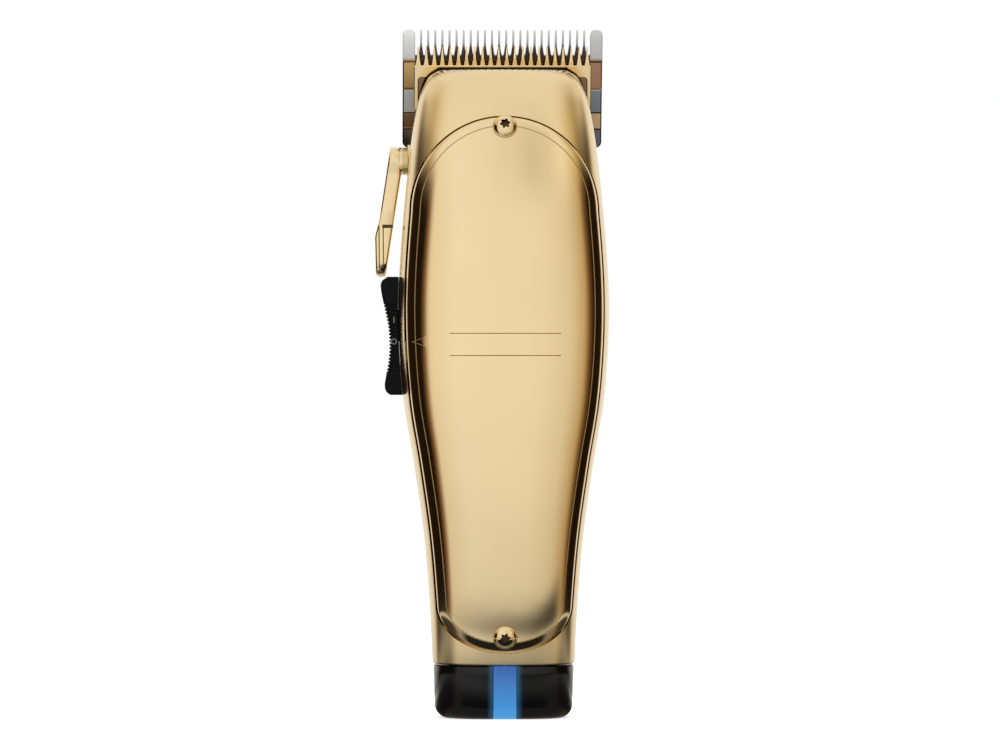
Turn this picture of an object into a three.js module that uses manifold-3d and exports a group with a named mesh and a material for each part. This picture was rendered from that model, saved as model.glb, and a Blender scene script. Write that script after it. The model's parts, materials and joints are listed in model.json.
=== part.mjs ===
// Cordless hair clipper, standing upright on its flat base.
// Millimetres, +Z up towards the blades, the cover plate faces -Y, the taper lever and the
// power switch are on the -X side. The origin is the centre of the base's bottom face.

import * as THREE from 'three';
import { mergeVertices } from 'three/addons/utils/BufferGeometryUtils.js';
import Module from 'manifold-3d';

const wasm = await Module();
wasm.setup();

// ---------------------------------------------------------------- driving dimensions

const GAP = 0.3; // air between pieces that rest on each other
const WALL = 2.5; // housing wall
const CAP_TOP = 12.7;
const HOUSING_BOTTOM = CAP_TOP + GAP;
const HOUSING_TOP = 155.3; // top of the lip in front of the blades
const SECTION_POWER = 2.6; // superellipse exponent of every cross-section

// The housing's outline as [height, value] stations.
const HALF_WIDTHS = [
  [13, 17.0], [28, 17.8], [44, 19.2], [61, 21.6], [75, 23.9], [88, 25.0], [100, 25.25],
  [112, 24.7], [127, 23.4], [140, 21.9], [148, 20.4], [152, 18.9], [154, 17.6], [155.3, 15.6],
];
const FRONTS = [
  [13, -14.6], [28, -16.2], [44, -17.4], [61, -18.5], [80, -19.5], [100, -20.0], [115, -19.6],
  [128, -17.6], [139, -14.3], [147, -10.6], [152, -7.2], [154.2, -4.8], [155.3, -2.6],
];
const BACKS = [
  [13, 14.6], [40, 16.0], [70, 17.5], [100, 18.5], [120, 19.0], [137, 19.0], [147, 18.0], [155.3, 15.0],
];

// Cover plate: it follows the housing's outline, with an elliptical end at the top and bottom.
const COVER_INSET = 1.7; // from the housing's side outline to the cover's edge
const COVER_BOTTOM = 16.2;
const COVER_LOWER_END = 27.5; // where the lower half-ellipse starts
const COVER_UPPER_END = 121;
const COVER_TOP = 143.5;
const COVER_PROUD = 0.8;
const COVER_THICKNESS = 2.0;
const COVER_SCREW_HEIGHTS = { cover_screw_bottom: 19.7, cover_screw_top: 141.1 };

// Blade set, in its own frame: x across, y out of the comb's back face, z towards the tips.
const BLADE_TILT = THREE.MathUtils.degToRad(18);
const BLADE_HEEL = [0, 16, 137];
const COMB_HALF_WIDTH = 24.1;
const COMB_LENGTH = 29.44;
const COMB_THICKNESS = 3;
const COMB_TEETH = 24;
const COMB_PITCH = 1.71;
const COMB_ROOT = 23.2; // the bottom of the gaps between the comb's teeth
const CUTTER_HALF_WIDTH = 21.35;
const CUTTER_BOTTOM = 10.4;
const CUTTER_TIP = 25.76;
const CUTTER_ROOT = 20.6;
const CUTTER_TEETH = 22;
const CUTTER_FACE = -2.3; // the face turned to the housing
const DECK_FACE = -3.5; // the housing's seat under the blades
const DECK_BACK = -6.0;
const POCKET_FLOOR = -5.5; // lower end of the pocket that the blades slide in
const BLADE_SCREW_X = 10;
const BLADE_SCREW_Z = 4.2;
const SPRING_X = 10;
const SPRING_SCREW_Z = 7;

// Taper lever: a crank pin on its shaft slides the blade carrier.
const LEVER_Y = 8.7;
const LEVER_Z = 133.6;
const CRANK_RADIUS = 2.6;
const CRANK_REST_ANGLE = THREE.MathUtils.degToRad(27.5);

// Drive: the motor turns an eccentric pin, which rocks an arm that drives the cutter.
const MOTOR_Y = 3;
const MOTOR_RADIUS = 12.2;
const MOTOR_BOTTOM = 90;
const MOTOR_TOP = 120;
const MOTOR_SCREW_X = 8;
const ECCENTRICITY = 0.92;
const PIN_RADIUS = 1.6;
const ROCKER_PIVOT = 4.4; // height in the blade frame
const ROCKER_FINGER = 14.6;
const ROCKER_FORK = -4.54;
const ROCKER_BACK = -6.3;
const ROCKER_FRONT = -8.7;

const BATTERY_Y = 1.5;
const BATTERY_RADIUS = 9.1;
const BATTERY_BOTTOM = 18.2;
const BATTERY_TOP = 83.2;
const BOARD_Y = [-10.4, -8.9];

const SWITCH_CENTRE = 91.4;
const SWITCH_TRAVEL = 5.3;
const BASE_SCREW = [12.2, 3.5];
const BRACKET_SCREW = [16.6, 7];
const BRACKET_TOP = 122.4;
const LIGHT_HALF_WIDTH = 2.75;
const CONTACT_X = 6;

// ---------------------------------------------------------------- looks

const POLISHED_GOLD = { color: 0xd9b978, roughness: 0.12, metalness: 1 };
const SATIN_GOLD = { color: 0xd6b36c, roughness: 0.32, metalness: 1 };
const STEEL = { color: 0xc4c4c2, roughness: 0.25, metalness: 1 };
const DARK_STEEL = { color: 0x6b6b6e, roughness: 0.4, metalness: 1 };
const BRASS = { color: 0xc9a14a, roughness: 0.35, metalness: 1 };
const COPPER = { color: 0xb56a3c, roughness: 0.4, metalness: 1 };
const GLOSS_BLACK = { color: 0x101112, roughness: 0.12, metalness: 0 };
const MATTE_BLACK = { color: 0x18191a, roughness: 0.6, metalness: 0 };
const WHITE_PLASTIC = { color: 0xe6e4de, roughness: 0.5, metalness: 0 };
const BLUE_LIGHT = { color: 0x4696e1, roughness: 0.2, metalness: 0 };
const BLUE_WRAP = { color: 0x2f5fa8, roughness: 0.35, metalness: 0 };
const BOARD_GREEN = { color: 0x1f5c3a, roughness: 0.5, metalness: 0 };
const RED_LEAD = { color: 0xb02020, roughness: 0.5, metalness: 0 };

// ---------------------------------------------------------------- joining and cutting

function solid(geometry) {
  const bare = geometry.clone();
  bare.deleteAttribute('normal');
  bare.deleteAttribute('uv');
  const merged = mergeVertices(bare, 1e-4);
  return new wasm.Manifold(new wasm.Mesh({
    numProp: 3,
    vertProperties: new Float32Array(merged.attributes.position.array),
    triVerts: new Uint32Array(merged.index.array),
  }));
}

function geometryOf(manifold) {
  const mesh = manifold.getMesh();
  const geometry = new THREE.BufferGeometry();
  geometry.setAttribute('position', new THREE.BufferAttribute(mesh.vertProperties, 3));
  geometry.setIndex(new THREE.BufferAttribute(mesh.triVerts, 1));
  return geometry;
}

function join(...shapes) {
  return geometryOf(shapes.map(solid).reduce((whole, next) => whole.add(next)));
}

function cut(shape, ...tools) {
  return geometryOf(tools.map(solid).reduce((rest, tool) => rest.subtract(tool), solid(shape)));
}

function common(...shapes) {
  return geometryOf(shapes.map(solid).reduce((whole, next) => whole.intersect(next)));
}

// ---------------------------------------------------------------- simple shapes

function box([x0, x1], [y0, y1], [z0, z1]) {
  const geometry = new THREE.BoxGeometry(x1 - x0, y1 - y0, z1 - z0);
  return geometry.translate((x0 + x1) / 2, (y0 + y1) / 2, (z0 + z1) / 2);
}

// Round bars along one axis, given their centre line and their two ends.
function rodX(radius, [from, to], [y, z], sides = 24) {
  const bar = new THREE.CylinderGeometry(radius, radius, to - from, sides).rotateZ(Math.PI / 2);
  return bar.translate((from + to) / 2, y, z);
}

function rodY(radius, [from, to], [x, z], sides = 24) {
  return new THREE.CylinderGeometry(radius, radius, to - from, sides).translate(x, (from + to) / 2, z);
}

function rodZ(radius, [from, to], [x, y], sides = 24) {
  const bar = new THREE.CylinderGeometry(radius, radius, to - from, sides).rotateX(Math.PI / 2);
  return bar.translate(x, y, (from + to) / 2);
}

function outline(points) {
  return new THREE.Shape(points.map(([a, b]) => new THREE.Vector2(a, b)));
}

// An outline in x and z, given thickness along y.
function plateY(shape, [y0, y1]) {
  const plate = new THREE.ExtrudeGeometry(shape, { depth: y1 - y0, bevelEnabled: false, curveSegments: 8 });
  return plate.rotateX(Math.PI / 2).translate(0, y1, 0);
}

// An outline in y and z, given thickness along x.
function plateX(shape, [x0, x1]) {
  const plate = new THREE.ExtrudeGeometry(shape, { depth: x1 - x0, bevelEnabled: false, curveSegments: 8 });
  return plate.rotateY(Math.PI / 2).rotateX(Math.PI / 2).translate(x0, 0, 0);
}

// An outline in x and y, given thickness along z.
function plateZ(shape, [z0, z1]) {
  const plate = new THREE.ExtrudeGeometry(shape, { depth: z1 - z0, bevelEnabled: false, curveSegments: 8 });
  return plate.translate(0, 0, z0);
}

// A turned piece about the Z axis through [x, y]; the profile is [radius, z] from top to bottom.
function turned(profile, [x, y] = [0, 0], sides = 24) {
  const points = profile.map(([radius, z]) => new THREE.Vector2(radius, z));
  return new THREE.LatheGeometry(points, sides).rotateX(Math.PI / 2).translate(x, y, 0);
}

function wire(points, radius, steps) {
  const path = new THREE.CatmullRomCurve3(points.map((point) => new THREE.Vector3(...point)));
  const section = new THREE.Shape().absarc(0, 0, radius, 0, 2 * Math.PI);
  return new THREE.ExtrudeGeometry(section, {
    steps, extrudePath: path, bevelEnabled: false, curveSegments: 4,
  });
}

function steps(from, to, count) {
  return Array.from({ length: count + 1 }, (_, i) => from + ((to - from) * i) / count);
}

const SIDES = { left: -1, right: 1 };

// Two like shapes, one on each side of the middle plane.
function pair(make) {
  return Object.values(SIDES).map(make);
}

function baseScrewAxis(side) {
  return [side * BASE_SCREW[0], BASE_SCREW[1]];
}

function bracketScrewAxis(side) {
  return [side * BRACKET_SCREW[0], BRACKET_SCREW[1]];
}

// ---------------------------------------------------------------- the housing's surface

// A smooth curve through [height, value] stations: cubic pieces with averaged slopes.
function smoothCurve(stations) {
  const last = stations.length - 1;
  const slopes = stations.map((_, i) => {
    const before = stations[Math.max(i - 1, 0)];
    const after = stations[Math.min(i + 1, last)];
    return (after[1] - before[1]) / (after[0] - before[0]);
  });
  return (height) => {
    const z = Math.min(Math.max(height, stations[0][0]), stations[last][0]);
    const i = Math.min(stations.findIndex(([top], k) => k > 0 && z <= top), last) - 1;
    const [z0, v0] = stations[i];
    const [z1, v1] = stations[i + 1];
    const span = z1 - z0;
    const t = (z - z0) / span;
    const blend = t * t * (3 - 2 * t);
    const lean = t * (1 - t);
    return v0 + (v1 - v0) * blend + span * lean * (slopes[i] * (1 - t) - slopes[i + 1] * t);
  };
}

const halfWidth = smoothCurve(HALF_WIDTHS);
const front = smoothCurve(FRONTS);
const back = smoothCurve(BACKS);

const roundPower = (value) => Math.sign(value) * Math.abs(value) ** (2 / SECTION_POWER);

// A body with the housing's cross-sections, drawn in by inset(z): a unit cylinder whose rings
// are moved onto the sections at the given heights.
function loft(heights, inset, sides = 36) {
  const rings = heights.length - 1;
  const geometry = new THREE.CylinderGeometry(1, 1, 1, sides, rings).rotateX(Math.PI / 2);
  const position = geometry.attributes.position;
  for (let i = 0; i < position.count; i += 1) {
    const z = heights[Math.round((position.getZ(i) + 0.5) * rings)];
    const reach = Math.hypot(position.getX(i), position.getY(i));
    const angle = Math.atan2(position.getY(i), position.getX(i));
    const middle = (front(z) + back(z)) / 2;
    const halfDepth = (back(z) - front(z)) / 2;
    const x = (halfWidth(z) - inset(z)) * roundPower(Math.cos(angle)) * reach;
    const y = middle + (halfDepth - inset(z)) * roundPower(Math.sin(angle)) * reach;
    position.setXYZ(i, x, y, z);
  }
  return geometry;
}

const HEAD_RINGS = [143.5, 147.5, 150.5, 152.5, 153.7, 154.6, HOUSING_TOP];
const BODY_RINGS = [...steps(HOUSING_BOTTOM, 139.5, 13), ...HEAD_RINGS];

const bodySurface = (inset) => loft(BODY_RINGS, () => inset);

// How far the front surface leans back at a height, as an angle about X.
function frontLean(z) {
  return Math.atan2(front(z + 1) - front(z - 1), 2);
}

// ---------------------------------------------------------------- the blade frame

const bladeFrame = new THREE.Matrix4()
  .makeTranslation(...BLADE_HEEL)
  .multiply(new THREE.Matrix4().makeRotationX(BLADE_TILT));

const inBladeFrame = (geometry) => geometry.applyMatrix4(bladeFrame);

// ---------------------------------------------------------------- cover

function coverHalfWidth(z) {
  if (z > COVER_UPPER_END) {
    const rise = Math.min((z - COVER_UPPER_END) / (COVER_TOP - COVER_UPPER_END), 1);
    return (halfWidth(COVER_UPPER_END) - COVER_INSET) * Math.sqrt(1 - rise * rise);
  }
  if (z < COVER_LOWER_END) {
    const drop = Math.min((COVER_LOWER_END - z) / (COVER_LOWER_END - COVER_BOTTOM), 1);
    return (halfWidth(COVER_LOWER_END) - COVER_INSET) * Math.sqrt(1 - drop * drop);
  }
  return halfWidth(z) - COVER_INSET;
}

// The cover's outline, grown by a margin, as a prism through the front of the housing.
function coverPrism(margin) {
  const endAngles = steps(0, Math.PI / 2, 7);
  const lower = endAngles.map((a) => (
    COVER_LOWER_END - (COVER_LOWER_END - COVER_BOTTOM) * Math.cos(a)
  ));
  const upper = endAngles.map((a) => COVER_UPPER_END + (COVER_TOP - COVER_UPPER_END) * Math.sin(a));
  const heights = [...lower, ...steps(COVER_LOWER_END, COVER_UPPER_END, 14).slice(1, -1), ...upper];
  const middle = (COVER_TOP + COVER_BOTTOM) / 2;
  const stretch = 1 + (2 * margin) / (COVER_TOP - COVER_BOTTOM);
  const right = heights.map((z) => {
    const half = coverHalfWidth(z);
    return [half < 0.01 ? 0 : half + margin * Math.min(half / 6, 1), middle + (z - middle) * stretch];
  });
  const left = right.slice(1, -1).reverse().map(([x, z]) => [-x, z]);
  return plateY(outline([...right, ...left]), [-30, -4]);
}

// A piece that stands on the cover's surface at a height: built about Y, then leaned and moved.
function onCover(geometry, z) {
  return geometry.rotateX(-frontLean(z)).translate(0, front(z) - COVER_PROUD, z);
}

function coverScrewHoles(depth) {
  return Object.values(COVER_SCREW_HEIGHTS).map((z) => onCover(rodY(1.9, [-4, depth], [0, 0], 16), z));
}

function coverPlate() {
  const screwHoles = coverScrewHoles(8);
  const blank = cut(bodySurface(-COVER_PROUD), bodySurface(COVER_THICKNESS - COVER_PROUD));
  return cut(common(blank, coverPrism(0)), ...screwHoles);
}

function coverScrew(z) {
  const head = onCover(rodY(2.85, [-1.8, -GAP], [0, 0], 24), z);
  const shank = onCover(rodY(1.5, [-GAP - 0.1, 4.4], [0, 0], 16), z);
  const socket = onCover(rodY(1.35, [-3, -1.0], [0, 0], 6), z);
  return cut(join(head, shank), socket);
}

// ---------------------------------------------------------------- housing

function screwBlock(z, reach, depth) {
  const block = onCover(box([-5.2, 5.2], [1.5, depth], [-reach, reach]), z);
  return common(block, bodySurface(1));
}

function bladeDeck() {
  const deck = inBladeFrame(box([-26, 26], [DECK_BACK, DECK_FACE + 1], [POCKET_FLOOR - 2.5, 13.4]));
  const floor = inBladeFrame(box([-26, 26], [DECK_BACK, 8], [POCKET_FLOOR - 2.5, POCKET_FLOOR + 1]));
  return common(join(deck, floor), bodySurface(0.6));
}

function housingShell() {
  const cavity = loft([5, ...steps(HOUSING_BOTTOM, 139, 8), 146, 152.8], () => WALL, 24);
  return cut(bodySurface(0), cavity);
}

function housing() {
  const leverBoss = rodX(4.6, [-24.1, -19], [LEVER_Y, LEVER_Z]);
  const baseBosses = pair((side) => rodZ(2.8, [HOUSING_BOTTOM, 17.6], baseScrewAxis(side), 16));
  const bracketPosts = pair((side) => {
    const ends = [side * 14.4, side * 25].sort((a, b) => a - b);
    return common(box(ends, [BRACKET_SCREW[1] - 2.4, BRACKET_SCREW[1] + 2.4], [112, 120.1]), bodySurface(1));
  });
  const screwBlocks = [
    screwBlock(COVER_SCREW_HEIGHTS.cover_screw_bottom, 5.6, 3.9),
    screwBlock(COVER_SCREW_HEIGHTS.cover_screw_top, 5.8, 8),
  ];
  const whole = join(housingShell(), bladeDeck(), leverBoss, ...screwBlocks, ...baseBosses, ...bracketPosts);

  const coverSeat = cut(coverPrism(GAP), bodySurface(COVER_THICKNESS - COVER_PROUD + GAP));
  const coverWindow = cut(coverPrism(-2), ...screwBlocks);
  const bladePocket = inBladeFrame(box([-40, 40], [DECK_FACE, 30], [POCKET_FLOOR, 60]));
  const throughDeck = [DECK_BACK - 1, DECK_FACE + 1];
  const carrierWindow = inBladeFrame(box([-19.4, -12.6], throughDeck, [POCKET_FLOOR, 4.2]));
  const fingerWindow = inBladeFrame(box([-7, 7], throughDeck, [9.4, 14]));
  const pivotHole = inBladeFrame(rodY(1.8, throughDeck, [0, ROCKER_PIVOT], 16));
  const springHoles = pair((side) => {
    return inBladeFrame(rodY(1.3, throughDeck, [side * SPRING_X, SPRING_SCREW_Z], 12));
  });
  const leverHole = rodX(3.6, [-30, -15], [LEVER_Y, LEVER_Z]);
  const switchSlot = box([-30, -20], [-2.6, 2.6], [84.6, 98.0]);
  const screwHoles = [
    ...coverScrewHoles(6.8),
    ...pair((side) => rodZ(1.6, [5, 17], baseScrewAxis(side), 12)),
    ...pair((side) => rodZ(1.3, [114, 125], bracketScrewAxis(side), 12)),
  ];
  return cut(
    whole, coverSeat, coverWindow, bladePocket, carrierWindow, fingerWindow, pivotHole, leverHole,
    switchSlot, ...springHoles, ...screwHoles,
  );
}

// ---------------------------------------------------------------- base

const CAP_CORNER = 3;

function capInset(z) {
  const taper = 0.15 + (0.5 * (CAP_TOP - z)) / CAP_TOP;
  const rise = Math.max(CAP_CORNER - z, 0);
  return taper + CAP_CORNER - Math.sqrt(CAP_CORNER ** 2 - rise ** 2);
}

const CAP_RINGS = [0, 0.25, 0.9, 1.8, CAP_CORNER, 8, CAP_TOP];

function lightSlot(margin) {
  const half = LIGHT_HALF_WIDTH + margin;
  return box([-half, half], [-20, -9.9 + margin], [-1, CAP_TOP + 1]);
}

function baseCap() {
  const shell = cut(loft(CAP_RINGS, capInset), loft([2.4, 20], () => 4.6, 24));
  const collar = cut(loft([CAP_TOP - 1, 16.8], () => WALL + GAP, 24), loft([5, 20], () => 4.6, 24));
  const posts = pair((side) => rodZ(3.2, [1, CAP_TOP], baseScrewAxis(side), 16));
  const bossRoom = pair((side) => rodZ(3.2, [CAP_TOP, 20], baseScrewAxis(side), 16));
  const screwHoles = [
    ...pair((side) => rodZ(1.6, [-1, 20], baseScrewAxis(side), 12)),
    ...pair((side) => rodZ(2.5, [-1, 2.4], baseScrewAxis(side), 16)),
  ];
  const contactHoles = pair((side) => chargeContact(side, GAP, -1));
  const blockRoom = box([-5.6, 5.6], [-20, -9], [CAP_TOP, 20]);
  return cut(
    join(shell, collar, ...posts), lightSlot(GAP), blockRoom, ...bossRoom, ...screwHoles, ...contactHoles,
  );
}

// A flat charging pad in the base's floor, grown by a margin for the hole that it sits in.
function chargeContact(side, margin, bottom) {
  const half = 1.5 + margin;
  return box([side * CONTACT_X - half, side * CONTACT_X + half], [2 - margin, 7 + margin], [bottom, 3.6]);
}

function lightPipe() {
  return common(loft(CAP_RINGS, capInset), lightSlot(0));
}

function baseScrew(side) {
  const at = baseScrewAxis(side);
  const shank = rodZ(1.2, [1, 16.5], at, 12);
  const head = rodZ(2.2, [0.5, 2.1], at, 16);
  const slot = rodZ(1.1, [0, 1.3], at, 6);
  return cut(join(shank, head), slot);
}

// ---------------------------------------------------------------- blades (in the blade frame)

// The teeth are slim at their tips and widen towards their roots; a wide tooth closes each side.
function combOutline() {
  const tipHalf = 0.24;
  const rootHalf = 0.66;
  const sideTooth = 3;
  const corner = 2;
  const shape = new THREE.Shape();
  shape.moveTo(-COMB_HALF_WIDTH + corner, 0);
  shape.lineTo(COMB_HALF_WIDTH - corner, 0);
  shape.quadraticCurveTo(COMB_HALF_WIDTH, 0, COMB_HALF_WIDTH, corner);
  shape.lineTo(COMB_HALF_WIDTH, COMB_LENGTH - corner);
  shape.quadraticCurveTo(COMB_HALF_WIDTH, COMB_LENGTH, COMB_HALF_WIDTH - 1.4, COMB_LENGTH);
  const firstGap = COMB_HALF_WIDTH - sideTooth;
  shape.lineTo(firstGap, COMB_LENGTH - 0.6);
  shape.lineTo(firstGap, COMB_ROOT);
  for (let i = COMB_TEETH - 1; i >= 0; i -= 1) {
    const x = (i - (COMB_TEETH - 1) / 2) * COMB_PITCH;
    shape.lineTo(x + rootHalf, COMB_ROOT);
    shape.lineTo(x + tipHalf, COMB_ROOT + 2.6);
    shape.lineTo(x + tipHalf, COMB_LENGTH);
    shape.lineTo(x - tipHalf, COMB_LENGTH);
    shape.lineTo(x - tipHalf, COMB_ROOT + 2.6);
    shape.lineTo(x - rootHalf, COMB_ROOT);
  }
  shape.lineTo(-firstGap, COMB_ROOT);
  shape.lineTo(-firstGap, COMB_LENGTH - 0.6);
  shape.lineTo(-COMB_HALF_WIDTH + 1.4, COMB_LENGTH);
  shape.quadraticCurveTo(-COMB_HALF_WIDTH, COMB_LENGTH, -COMB_HALF_WIDTH, COMB_LENGTH - corner);
  shape.lineTo(-COMB_HALF_WIDTH, corner);
  shape.quadraticCurveTo(-COMB_HALF_WIDTH, 0, -COMB_HALF_WIDTH + corner, 0);
  return shape;
}

function combBlade() {
  const blank = plateY(combOutline(), [0, COMB_THICKNESS]);
  const bevel = plateX(outline([[3.2, 16.5], [6, 16.5], [6, 31], [1.1, 31]]), [-30, 30]);
  const shankHoles = pair((side) => rodY(1.9, [-1, 5], [side * BLADE_SCREW_X, BLADE_SCREW_Z], 16));
  const headRooms = pair((side) => rodY(3.6, [1.6, 5], [side * BLADE_SCREW_X, BLADE_SCREW_Z], 20));
  return cut(blank, bevel, ...shankHoles, ...headRooms);
}

function bladeCarrier() {
  const plate = box([-21, 21], [-3.2, -GAP], [-2.6, 9.5]);
  const lug = box([-16.6, -14.2], [-7.9, -3], [-2.6, 2.8]);
  const slot = box([-18, -13], [-7.1, -4.1], [-1.05, 1.5]);
  const holes = pair((side) => rodY(1.7, [-5, 1], [side * BLADE_SCREW_X, BLADE_SCREW_Z], 16));
  return cut(join(plate, lug), slot, ...holes);
}

function bladeScrew(side) {
  const at = [side * BLADE_SCREW_X, BLADE_SCREW_Z];
  const shank = rodY(1.4, [-3, 2], at, 16);
  const head = rodY(3.2, [1.9, 3.5], at, 24);
  const slot = box([at[0] - 4, at[0] + 4], [2.7, 5], [at[1] - 0.4, at[1] + 0.4]);
  return cut(join(shank, head), slot);
}

function cutterBlade() {
  const pitch = (2 * CUTTER_HALF_WIDTH) / CUTTER_TEETH;
  const points = [[CUTTER_HALF_WIDTH, CUTTER_BOTTOM], [CUTTER_HALF_WIDTH, CUTTER_ROOT]];
  for (let i = 0; i < CUTTER_TEETH; i += 1) {
    const x = CUTTER_HALF_WIDTH - (i + 0.5) * pitch;
    points.push([x + 0.55, CUTTER_ROOT], [x + 0.12, CUTTER_TIP]);
    points.push([x - 0.12, CUTTER_TIP], [x - 0.55, CUTTER_ROOT]);
  }
  points.push([-CUTTER_HALF_WIDTH, CUTTER_ROOT], [-CUTTER_HALF_WIDTH, CUTTER_BOTTOM]);
  const blank = plateY(outline(points), [CUTTER_FACE, -GAP]);
  const bevel = plateX(outline([[-2.4, 19.5], [-1.1, 27], [-4, 27], [-4, 19.5]]), [-30, 30]);
  const panels = pair((side) => (
    box([side * 13.5 - 7, side * 13.5 + 7], [CUTTER_FACE - 1, CUTTER_FACE + 0.6], [9, 19.2])
  ));
  return cut(blank, bevel, ...panels);
}

// A fork on the cutter, open downwards, that the rocker arm's finger sits in.
function cutterFork() {
  const block = box([-4.2, 4.2], [-5.4, CUTTER_FACE - GAP], [12, 17.3]);
  return cut(block, box([-1.9, 1.9], [-7, 0], [11, 16.1]));
}

// ---------------------------------------------------------------- drive (in the blade frame)

function rockerArm() {
  const plate = plateY(outline([
    [-6, -6.3], [6, -6.3], [6, -2.8], [3.2, 1.5], [3.2, 7.5], [1.9, 15.8], [-1.9, 15.8], [-3.2, 7.5],
    [-3.2, 1.5], [-6, -2.8],
  ]), [ROCKER_FRONT, ROCKER_BACK]);
  const fork = box([-6, 6], [-18.4, ROCKER_FRONT + 1], [ROCKER_FORK - 1.7, ROCKER_FORK + 1.7]);
  const finger = box([-1.5, 1.5], [ROCKER_BACK - 1, -2.9], [ROCKER_FINGER - 1.2, ROCKER_FINGER + 1.2]);
  const slotHalf = PIN_RADIUS + 2 * ECCENTRICITY + GAP;
  const slot = box([-slotHalf, slotHalf], [-20, -12], [-8, -1]);
  const pivotHole = rodY(1.6, [-12, 0], [0, ROCKER_PIVOT], 24);
  return cut(join(plate, fork, finger), slot, pivotHole);
}

function pivotPin() {
  const pin = rodY(1.5, [-10, -4], [0, ROCKER_PIVOT], 24);
  return join(pin, rodY(2.6, [-9.9, -9.1], [0, ROCKER_PIVOT], 24));
}

function tensionSpring(side) {
  const profile = outline([
    [-6.9, 4.2], [-6.3, 4.2], [-6.3, 13.9], [-3.0, 15.6], [-2.6, 17], [-3.2, 17], [-3.5, 16.2], [-6.9, 14.5],
  ]);
  const leaf = plateX(profile, [side * SPRING_X - 2, side * SPRING_X + 2]);
  return cut(leaf, rodY(1.3, [-8, -6], [side * SPRING_X, SPRING_SCREW_Z], 12));
}

function springScrew(side) {
  const at = [side * SPRING_X, SPRING_SCREW_Z];
  return join(rodY(1.0, [-7.3, -4], at, 12), rodY(1.9, [-8.4, -7.2], at, 16));
}

// ---------------------------------------------------------------- motor

const motorAt = [0, MOTOR_Y];

function motorCan() {
  const screwHoles = pair((side) => rodZ(1.3, [115, 125], [side * MOTOR_SCREW_X, MOTOR_Y], 12));
  return cut(turned([
    [3.2, MOTOR_TOP], [3.2, MOTOR_TOP - 1.2], [11.2, MOTOR_TOP - 1.2], [11.2, MOTOR_BOTTOM],
    [MOTOR_RADIUS, MOTOR_BOTTOM], [MOTOR_RADIUS, MOTOR_TOP - 1], [MOTOR_RADIUS - 1, MOTOR_TOP],
    [3.2, MOTOR_TOP],
  ], motorAt, 32), ...screwHoles);
}

function motorBush() {
  const low = MOTOR_TOP - 1.6;
  const high = MOTOR_TOP + 1.6;
  return turned([[1.3, high], [1.3, low], [2.9, low], [2.9, high], [1.3, high]], motorAt, 16);
}

function endBell() {
  return turned([
    [1.6, 92], [1.6, 87.8], [MOTOR_RADIUS, 87.8], [MOTOR_RADIUS, MOTOR_BOTTOM - GAP],
    [10.8, MOTOR_BOTTOM - GAP], [10.8, 92], [1.6, 92],
  ], motorAt, 32);
}

function magnet(side) {
  const middle = side > 0 ? 0 : Math.PI;
  const sector = new THREE.Shape();
  sector.absarc(0, 0, 10.9, middle - 1.15, middle + 1.15, false);
  sector.absarc(0, 0, 8.4, middle + 1.15, middle - 1.15, true);
  return plateZ(sector, [97, 117]).translate(0, MOTOR_Y, 0);
}

function brush(side) {
  const ends = [side * 3.6, side * 8].sort((a, b) => a - b);
  return box(ends, [MOTOR_Y - 1, MOTOR_Y + 1], [92.6, 95.4]);
}

function rotorCore() {
  const slots = [0, 1, 2].map((i) => (
    box([-0.8, 0.8], [3.8, 9], [98, 117]).rotateZ((i * 2 * Math.PI) / 3).translate(0, MOTOR_Y, 0)
  ));
  const blank = turned([[1.4, 115], [1.4, 99], [7.8, 99], [7.8, 115], [1.4, 115]], motorAt, 30);
  return cut(blank, ...slots);
}

function commutator() {
  return turned([[1.4, 98.4], [1.4, 92.6], [3.2, 92.6], [3.2, 98.4], [1.4, 98.4]], motorAt, 18);
}

function motorShaft() {
  return rodZ(1.1, [88.4, 126.6], motorAt, 16);
}

function eccentric() {
  const hub = rodZ(3.6, [123.2, 125], motorAt, 24);
  const pin = rodZ(PIN_RADIUS, [124.9, 131.8], [0, MOTOR_Y - ECCENTRICITY], 20);
  return cut(join(hub, pin), rodZ(1.4, [120, 127], motorAt, 12));
}

function motorBracket() {
  const heights = [MOTOR_TOP + 0.4, BRACKET_TOP];
  const disc = rodZ(12.4, heights, motorAt, 32);
  const ears = box([-18.6, 18.6], [BRACKET_SCREW[1] - 2.4, BRACKET_SCREW[1] + 2.4], heights);
  const holes = [
    rodZ(4, [119, 124], motorAt, 16),
    ...pair((side) => rodZ(1.3, [119, 124], [side * MOTOR_SCREW_X, MOTOR_Y], 12)),
    ...pair((side) => rodZ(1.3, [119, 124], bracketScrewAxis(side), 12)),
  ];
  return cut(join(disc, ears), ...holes);
}

function capScrewZ(at, seat, length) {
  return join(rodZ(1, [seat - length, seat + 0.5], at, 12), rodZ(1.9, [seat + GAP, seat + 1.5], at, 16));
}

// ---------------------------------------------------------------- battery and electronics

const batteryAt = [0, BATTERY_Y];

function batteryCell() {
  return turned([
    [0, BATTERY_TOP + 1.2], [3, BATTERY_TOP + 1.2], [3, BATTERY_TOP], [BATTERY_RADIUS - 0.6, BATTERY_TOP],
    [BATTERY_RADIUS, BATTERY_TOP - 0.6], [BATTERY_RADIUS, BATTERY_BOTTOM], [0, BATTERY_BOTTOM],
  ].reverse(), batteryAt, 32);
}

function batteryHolder() {
  const ring = turned([[9.4, 84], [9.4, 18.2], [10.3, 18.2], [10.3, 84], [9.4, 84]], batteryAt, 32);
  return cut(ring, box([-12, 12], [-12, BATTERY_Y - 0.5], [10, 90]));
}

function contactPlate([z0, z1]) {
  return box([-6.5, 6.5], [BATTERY_Y - 6, BATTERY_Y + 6], [z0, z1]);
}

function circuitBoard() {
  const holes = [26, 78].map((z) => rodY(1.1, [-12, -7], [-9, z], 12));
  return cut(box([-11, 11], BOARD_Y, [22, 82]), ...holes);
}

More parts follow.
